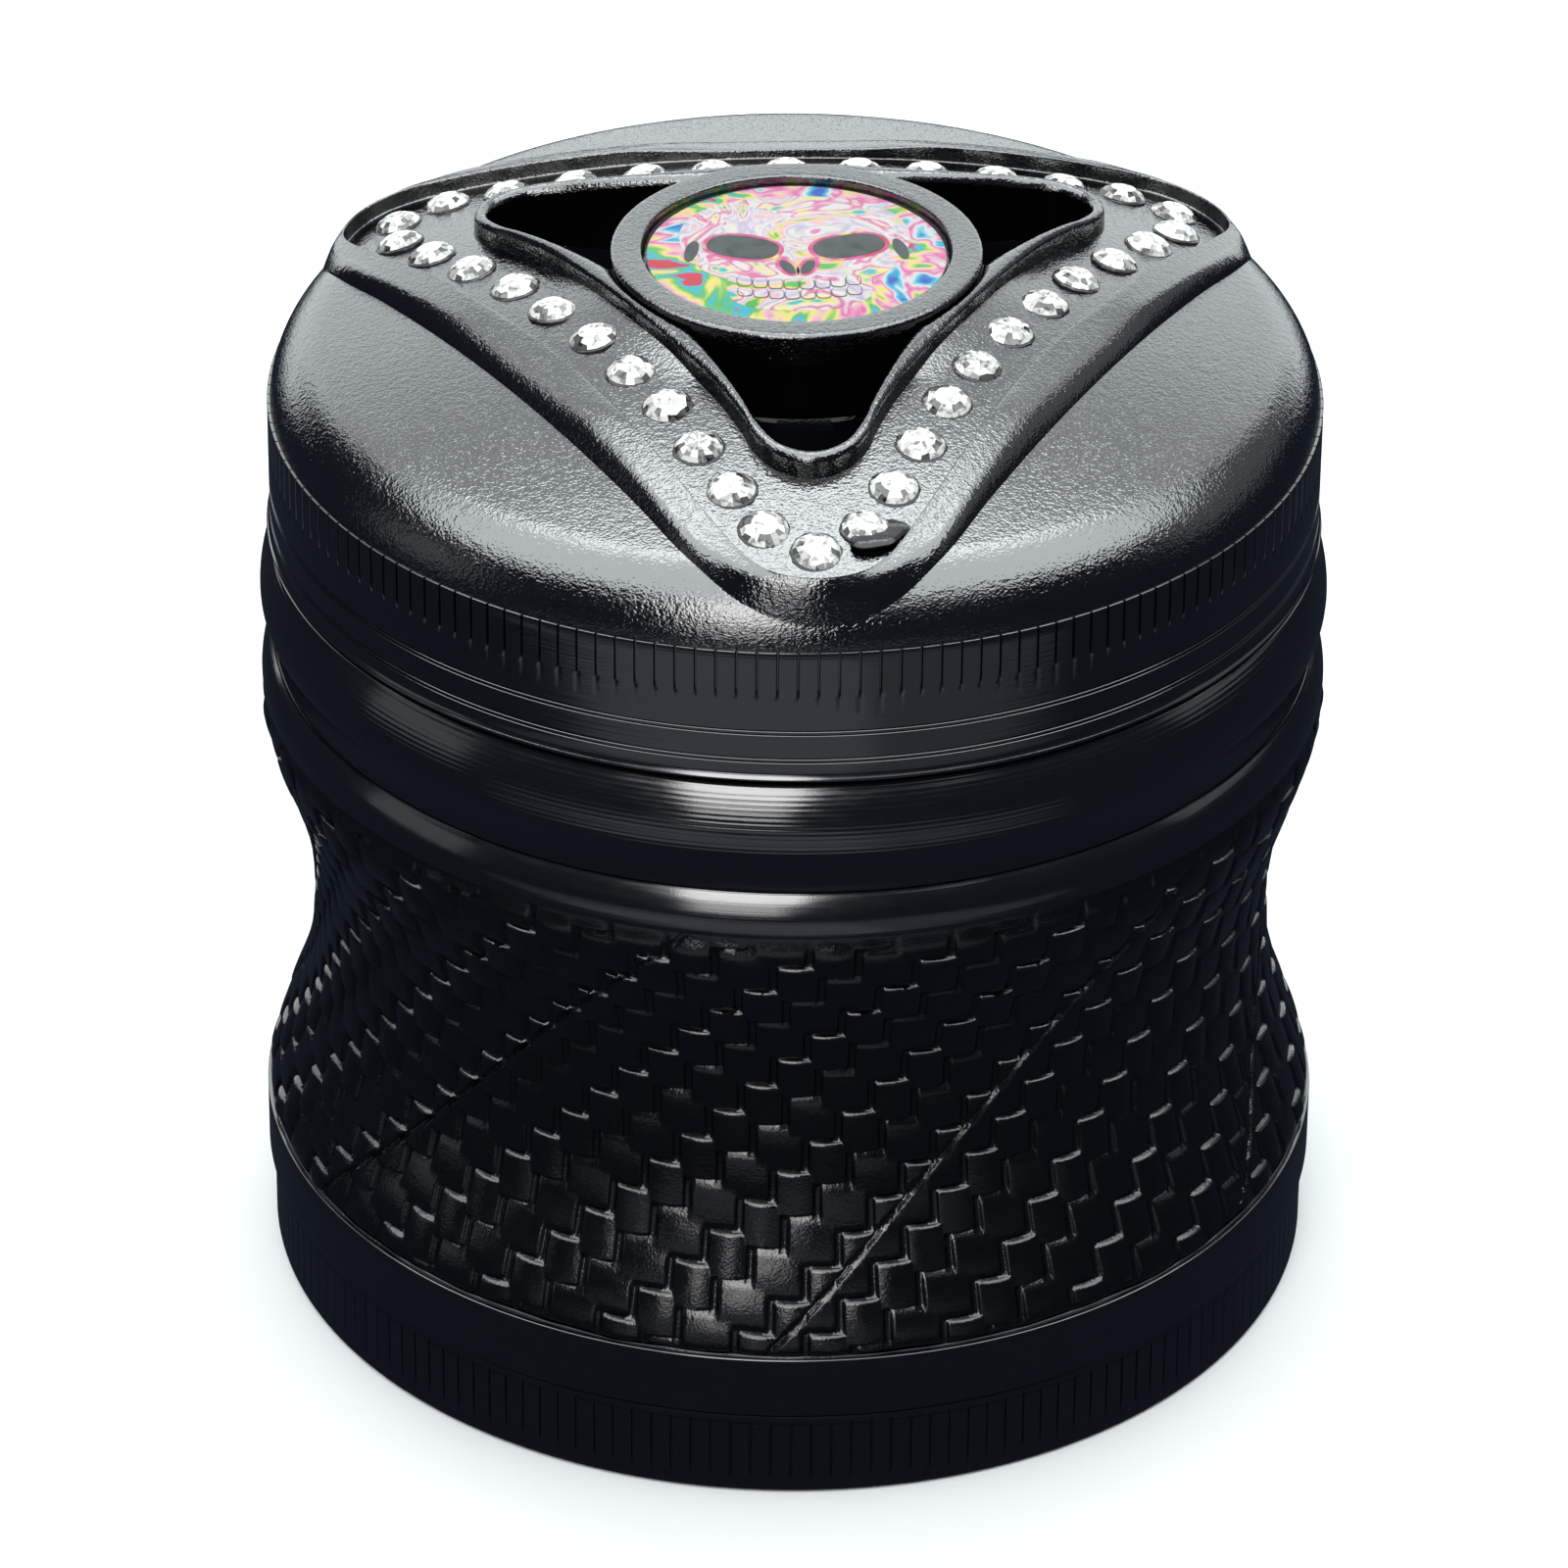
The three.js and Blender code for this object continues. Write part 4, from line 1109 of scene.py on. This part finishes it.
def leather_wrap():
    left, right = (0.5 - WARP_X, 0.5 - WARP_X + WALL), (0.5 + WARP_X, 0.5 + WARP_X - WALL)
    across = steps_in_unit([left, (-WEFT_X, WALL - WEFT_X), right, (WEFT_X, WEFT_X - WALL)])
    upward = steps_in_unit([(-WARP_Y, WALL - WARP_Y), (WARP_Y, WARP_Y - WALL)])
    column_at = (np.arange(COLUMNS)[:, None] + across).ravel()
    at = FRONT + column_at * TAU / COLUMNS
    bottom = WRAP_LOW[2] + 0.08 + wander(((3, 0.05), (7, 0.05), (17, 0.04), (41, 0.03)), at)
    top = np.full(len(at), LEATHER_TOP)
    table = np.linspace(0, 1, 400)
    heights = WRAP_LOW[2] + (LEATHER_TOP - WRAP_LOW[2]) * table
    lengths = np.concatenate([[0], np.cumsum(np.hypot(np.diff(heights), np.diff(waist_radius(heights))))])
    last = lengths[-1] / UNIT
    levels = (np.arange(int(last) + 1)[:, None] + upward).ravel()
    levels = np.append(levels[levels < last - 0.02], last)
    shifts = np.array([chance.randrange(4) for _ in range(PANELS)])
    rings = []
    for level in levels:
        share = np.interp(level * UNIT, lengths, table)
        rings.append(leather_ring(level, share, (bottom, top), at, column_at, shifts, lengths[-1]))
    inner = [top] + [np.full(len(at), height) for height in np.linspace(38, 12, 12)] + [bottom]
    rings += rounded([(waist_radius(height) - LEATHER_THICKNESS, height) for height in inner], at)
    shell("drum_leather", rings, LEATHER, "drum", "leather_black", "leather_wrap", closed=True, sharp=80)
    glue_line(bottom, at)


def glue_line(bottom, at):
    """Uneven bead of glue squeezed out under the leather's lower edge."""
    noise = wander([(wave, wave**-0.5) for wave in (11, 23, 37, 61, 97)], at)
    fat = 0.1 + 0.09 * np.clip(noise, -1, 1.5)
    centre_r = waist_radius(bottom) - 0.12
    centre_z = (bottom + WRAP_LOW[2] - 0.1) / 2
    turns = np.radians(np.arange(-90, 270, 36))
    profile = [(centre_r + fat * math.cos(t), centre_z + fat * math.sin(t) * 1.2) for t in turns]
    shell("leather_glue", rounded(profile, at), GLUE, "drum", "leather_black", closed=True, sharp=80)


# ---- base and the pieces inside
def base_cup():
    floor, bore, depth = 1.3, 29.9, 0.09
    outside = [(BASE_RADIUS - 1.4, 0.12), (BASE_RADIUS - 1.2, 0.0), (BASE_RADIUS - 0.4, 0.0)]
    outside += arc(BASE_RADIUS - 0.4, 0.4, 0.4, -75, 0, 4)
    top = [(BASE_RADIUS, BASE_TOP - 0.3), (BASE_RADIUS - 0.06, BASE_TOP - 0.08)]
    top.append((BASE_RADIUS - 0.25, BASE_TOP))
    inside = [(bore + 0.3, BASE_TOP), (bore, BASE_TOP - 0.3)]
    bowl = [(bore, floor + 1.0)] + arc(bore - 0.9, floor + 0.9, 0.9, 0, -90, 6) + [(bore * 0.5, floor)]
    knurls = knurl_rings(BASE_RADIUS, 0.7, BASE_TOP - 0.55, depth, edge=0.0)
    knurls[-2] = knurl_ring(BASE_RADIUS, BASE_TOP - 0.62, depth)
    knurls[-1] = knurl_ring(BASE_RADIUS, BASE_TOP - 0.5, 0)
    rings = rounded([(BASE_RADIUS * 0.5, 0.12)] + outside, FINE) + knurls + rounded(top, FINE)
    rings += rounded(inside, COARSE) + thread_rings(bore, BASE_TOP - 0.5, floor + 1.1, False)
    rings += rounded(bowl, COARSE)
    shell("base_metal", rings, ANODISED, "base", "anodised_black", "base_cup")


def rim_profile(low, high, edge):
    """Rounded lower and upper edge of a disc, going up."""
    radius = high[0] - edge
    return arc(radius, low[2] + edge, edge, -90, 0, 4) + arc(radius, high[2] - edge, edge, 0, 90, 4)


def disc(name, node, body, slot, material, edge=0.2):
    """A flat disc with rounded edges, the size of its CAD node."""
    shell(name, rounded(rim_profile(*node_box(node), edge), angles(96)), material, body, slot, node)


def hoop(name, node, body, slot, material, bore, edge=0.15):
    """A flat ring with rounded edges, the size of its CAD node."""
    low, high = node_box(node)
    profile = rim_profile(low, high, edge) + arc(bore + edge, high[2] - edge, edge, 90, 180, 4)
    profile += arc(bore + edge, low[2] + edge, edge, 180, 270, 4)
    shell(name, rounded(profile, angles(120)), material, body, slot, node, closed=True)


# ---- stage, lights and camera
def floor():
    """A pale floor, left out of reflections so that the black metal stays dark near it."""
    half, depth = 3.0, -0.00002
    mesh = bpy.data.meshes.new("floor")
    corners = [(half * x, half * y, depth) for x, y in ((-1, -1), (1, -1), (1, 1), (-1, 1))]
    mesh.from_pydata(corners, [], [(0, 1, 2, 3)])
    piece = linked("floor", mesh)
    paint = Paint("floor", (0.8, 0.8, 0.8), 1.0, Specular_IOR_Level=0.0)
    mesh.materials.append(paint.material)
    piece.visible_glossy = False


def world():
    """White to the camera; a dim cool room in reflections, lighter overhead."""
    studio = bpy.data.worlds.new("studio")
    bpy.context.scene.world = studio
    studio.use_nodes = True
    studio.node_tree.nodes.clear()
    air = Nodes(studio.node_tree)
    upward = air.node("ShaderNodeSeparateXYZ", air.node("ShaderNodeTexCoord").outputs["Generated"])
    colour = air.ramp(upward.outputs["Z"], [(0.0, (0.022, 0.028, 0.044)), (0.9, (0.034, 0.042, 0.055))])
    room = air.node("ShaderNodeBackground", colour).outputs["Background"]
    white = air.node("ShaderNodeBackground", (1, 1, 1, 1)).outputs["Background"]
    seen = air.node("ShaderNodeLightPath").outputs["Is Camera Ray"]
    mix = air.node("ShaderNodeMixShader", seen, room, white)
    air.node("ShaderNodeOutputWorld", mix.outputs["Shader"])


MIDDLE = Vector((0, 0, RING_TOP / 2 * MM))


def direction(azimuth, elevation):
    """Unit vector away from the object; azimuth 0 is the front and grows to the right."""
    a, e = math.radians(azimuth), math.radians(elevation)
    return Vector((math.sin(a) * math.cos(e), -math.cos(a) * math.cos(e), math.sin(e)))


WHITE, COOL, BLUISH = (1, 1, 1), (0.94, 1.0, 1.0), (0.86, 0.94, 1.0)


def softbox(name, azimuth, elevation, distance, width, height, radiance, colour=COOL, shape="RECTANGLE"):
    light = bpy.data.lights.new(name, "AREA")
    light.shape = shape
    light.size, light.size_y = width, height
    share = math.pi / 4 if shape == "ELLIPSE" else 1.0
    light.energy = radiance * math.pi * width * height * share
    light.color = colour
    lamp = linked(name, light)
    outward = direction(azimuth, elevation)
    lamp.location = MIDDLE + outward * distance
    lamp.rotation_mode = "QUATERNION"
    lamp.rotation_quaternion = outward.to_track_quat("Z", "Y")
    return lamp


def table_glow(name, left, right, near, far, radiance):
    """Lit patch of the table in front, in millimetres, which upright walls reflect."""
    lamp = softbox(name, 0, 90, 0.1, (right - left) * MM, (far - near) * MM, radiance, BLUISH)
    lamp.location = Vector(((left + right) / 2, -(near + far) / 2, 0.3)) * MM
    lamp.rotation_quaternion = Vector((0, 0, -1)).to_track_quat("Z", "Y")
    lamp.visible_camera = False


def lights():
    """Softboxes: azimuth and elevation in degrees, distance, width and height in metres, and radiance."""
    softbox("front_strip", -13, 36.5, 0.8, 0.33, 0.36, 4.6, WHITE)
    softbox("front_low", -13, 14, 0.8, 0.26, 0.3, 1.9, WHITE)
    table_glow("table_glow", -95, 25, 90, 230, 0.22)
    table_glow("table_glow_wide", -170, 110, 85, 260, 0.11)
    top = softbox("top_box", 0, 90, 1.0, 2.8, 1.5, 2.8, shape="ELLIPSE")
    top.location.y -= 0.06
    softbox("front_lip", 0, 44, 1.0, 1.2, 0.12, 0.5)
    softbox("left_box", -115, 42, 0.9, 0.8, 0.3, 0.15)
    softbox("right_box", 108, 25, 0.9, 0.8, 0.5, 0.25)
    softbox("left_low", -84, 10, 0.9, 0.4, 0.4, 0.25)
    softbox("back_box", 180, 34, 1.2, 1.9, 0.9, 1.05)
    softbox("back_middle", 180, 28, 1.15, 1.6, 0.24, 0.9)
    softbox("back_top", 180, 66, 1.0, 0.7, 0.28, 2.6)
    softbox("back_low", 180, 5, 1.2, 2.2, 0.5, 1.7)


CAMERA_AZIMUTH = -2.68
CAMERA_ELEVATION = 31.216
CAMERA_ROLL = 0.518
CAMERA_DISTANCE = 0.53603
AIM_SIDE = -0.00046
AIM_HEIGHT = 0.03019
LENS = 200.735


def camera():
    data = bpy.data.cameras.new("camera")
    data.lens = LENS
    data.sensor_width = 36.0
    data.clip_start, data.clip_end = 0.01, 20.0
    view = linked("camera", data)
    outward = direction(CAMERA_AZIMUTH, CAMERA_ELEVATION)
    turn = outward.to_track_quat("Z", "Y")
    right = turn @ Vector((1, 0, 0))
    view.location = Vector((0, 0, AIM_HEIGHT)) + right * AIM_SIDE + outward * CAMERA_DISTANCE
    view.rotation_mode = "QUATERNION"
    view.rotation_quaternion = turn @ Quaternion((0, 0, 1), math.radians(CAMERA_ROLL))
    bpy.context.scene.camera = view


# ---- the object
lid_casting()
stones()
medallion()
grinding_chamber()
drum_metal()
leather_wrap()
base_cup()
disc("lid_magnet_disc", "lid_magnet", "lid", "magnet_nickel", NICKEL)
disc("chamber_magnet_disc", "chamber_magnet", "chamber_core", "magnet_nickel", NICKEL)
disc("pollen_screen_cloth", "pollen_screen", "drum", "stainless", WOVEN, edge=0.1)
hoop("screen_ring_steel", "screen_retaining_ring", "screen_ring", "stainless", STAINLESS, 25.9)
hoop("friction_ring_nylon", "friction_ring", "lid_ring", "nylon", NYLON, COLLAR_RADIUS + 0.2)

floor()
world()
lights()
camera()
bpy.context.scene.view_settings.view_transform = "Standard"
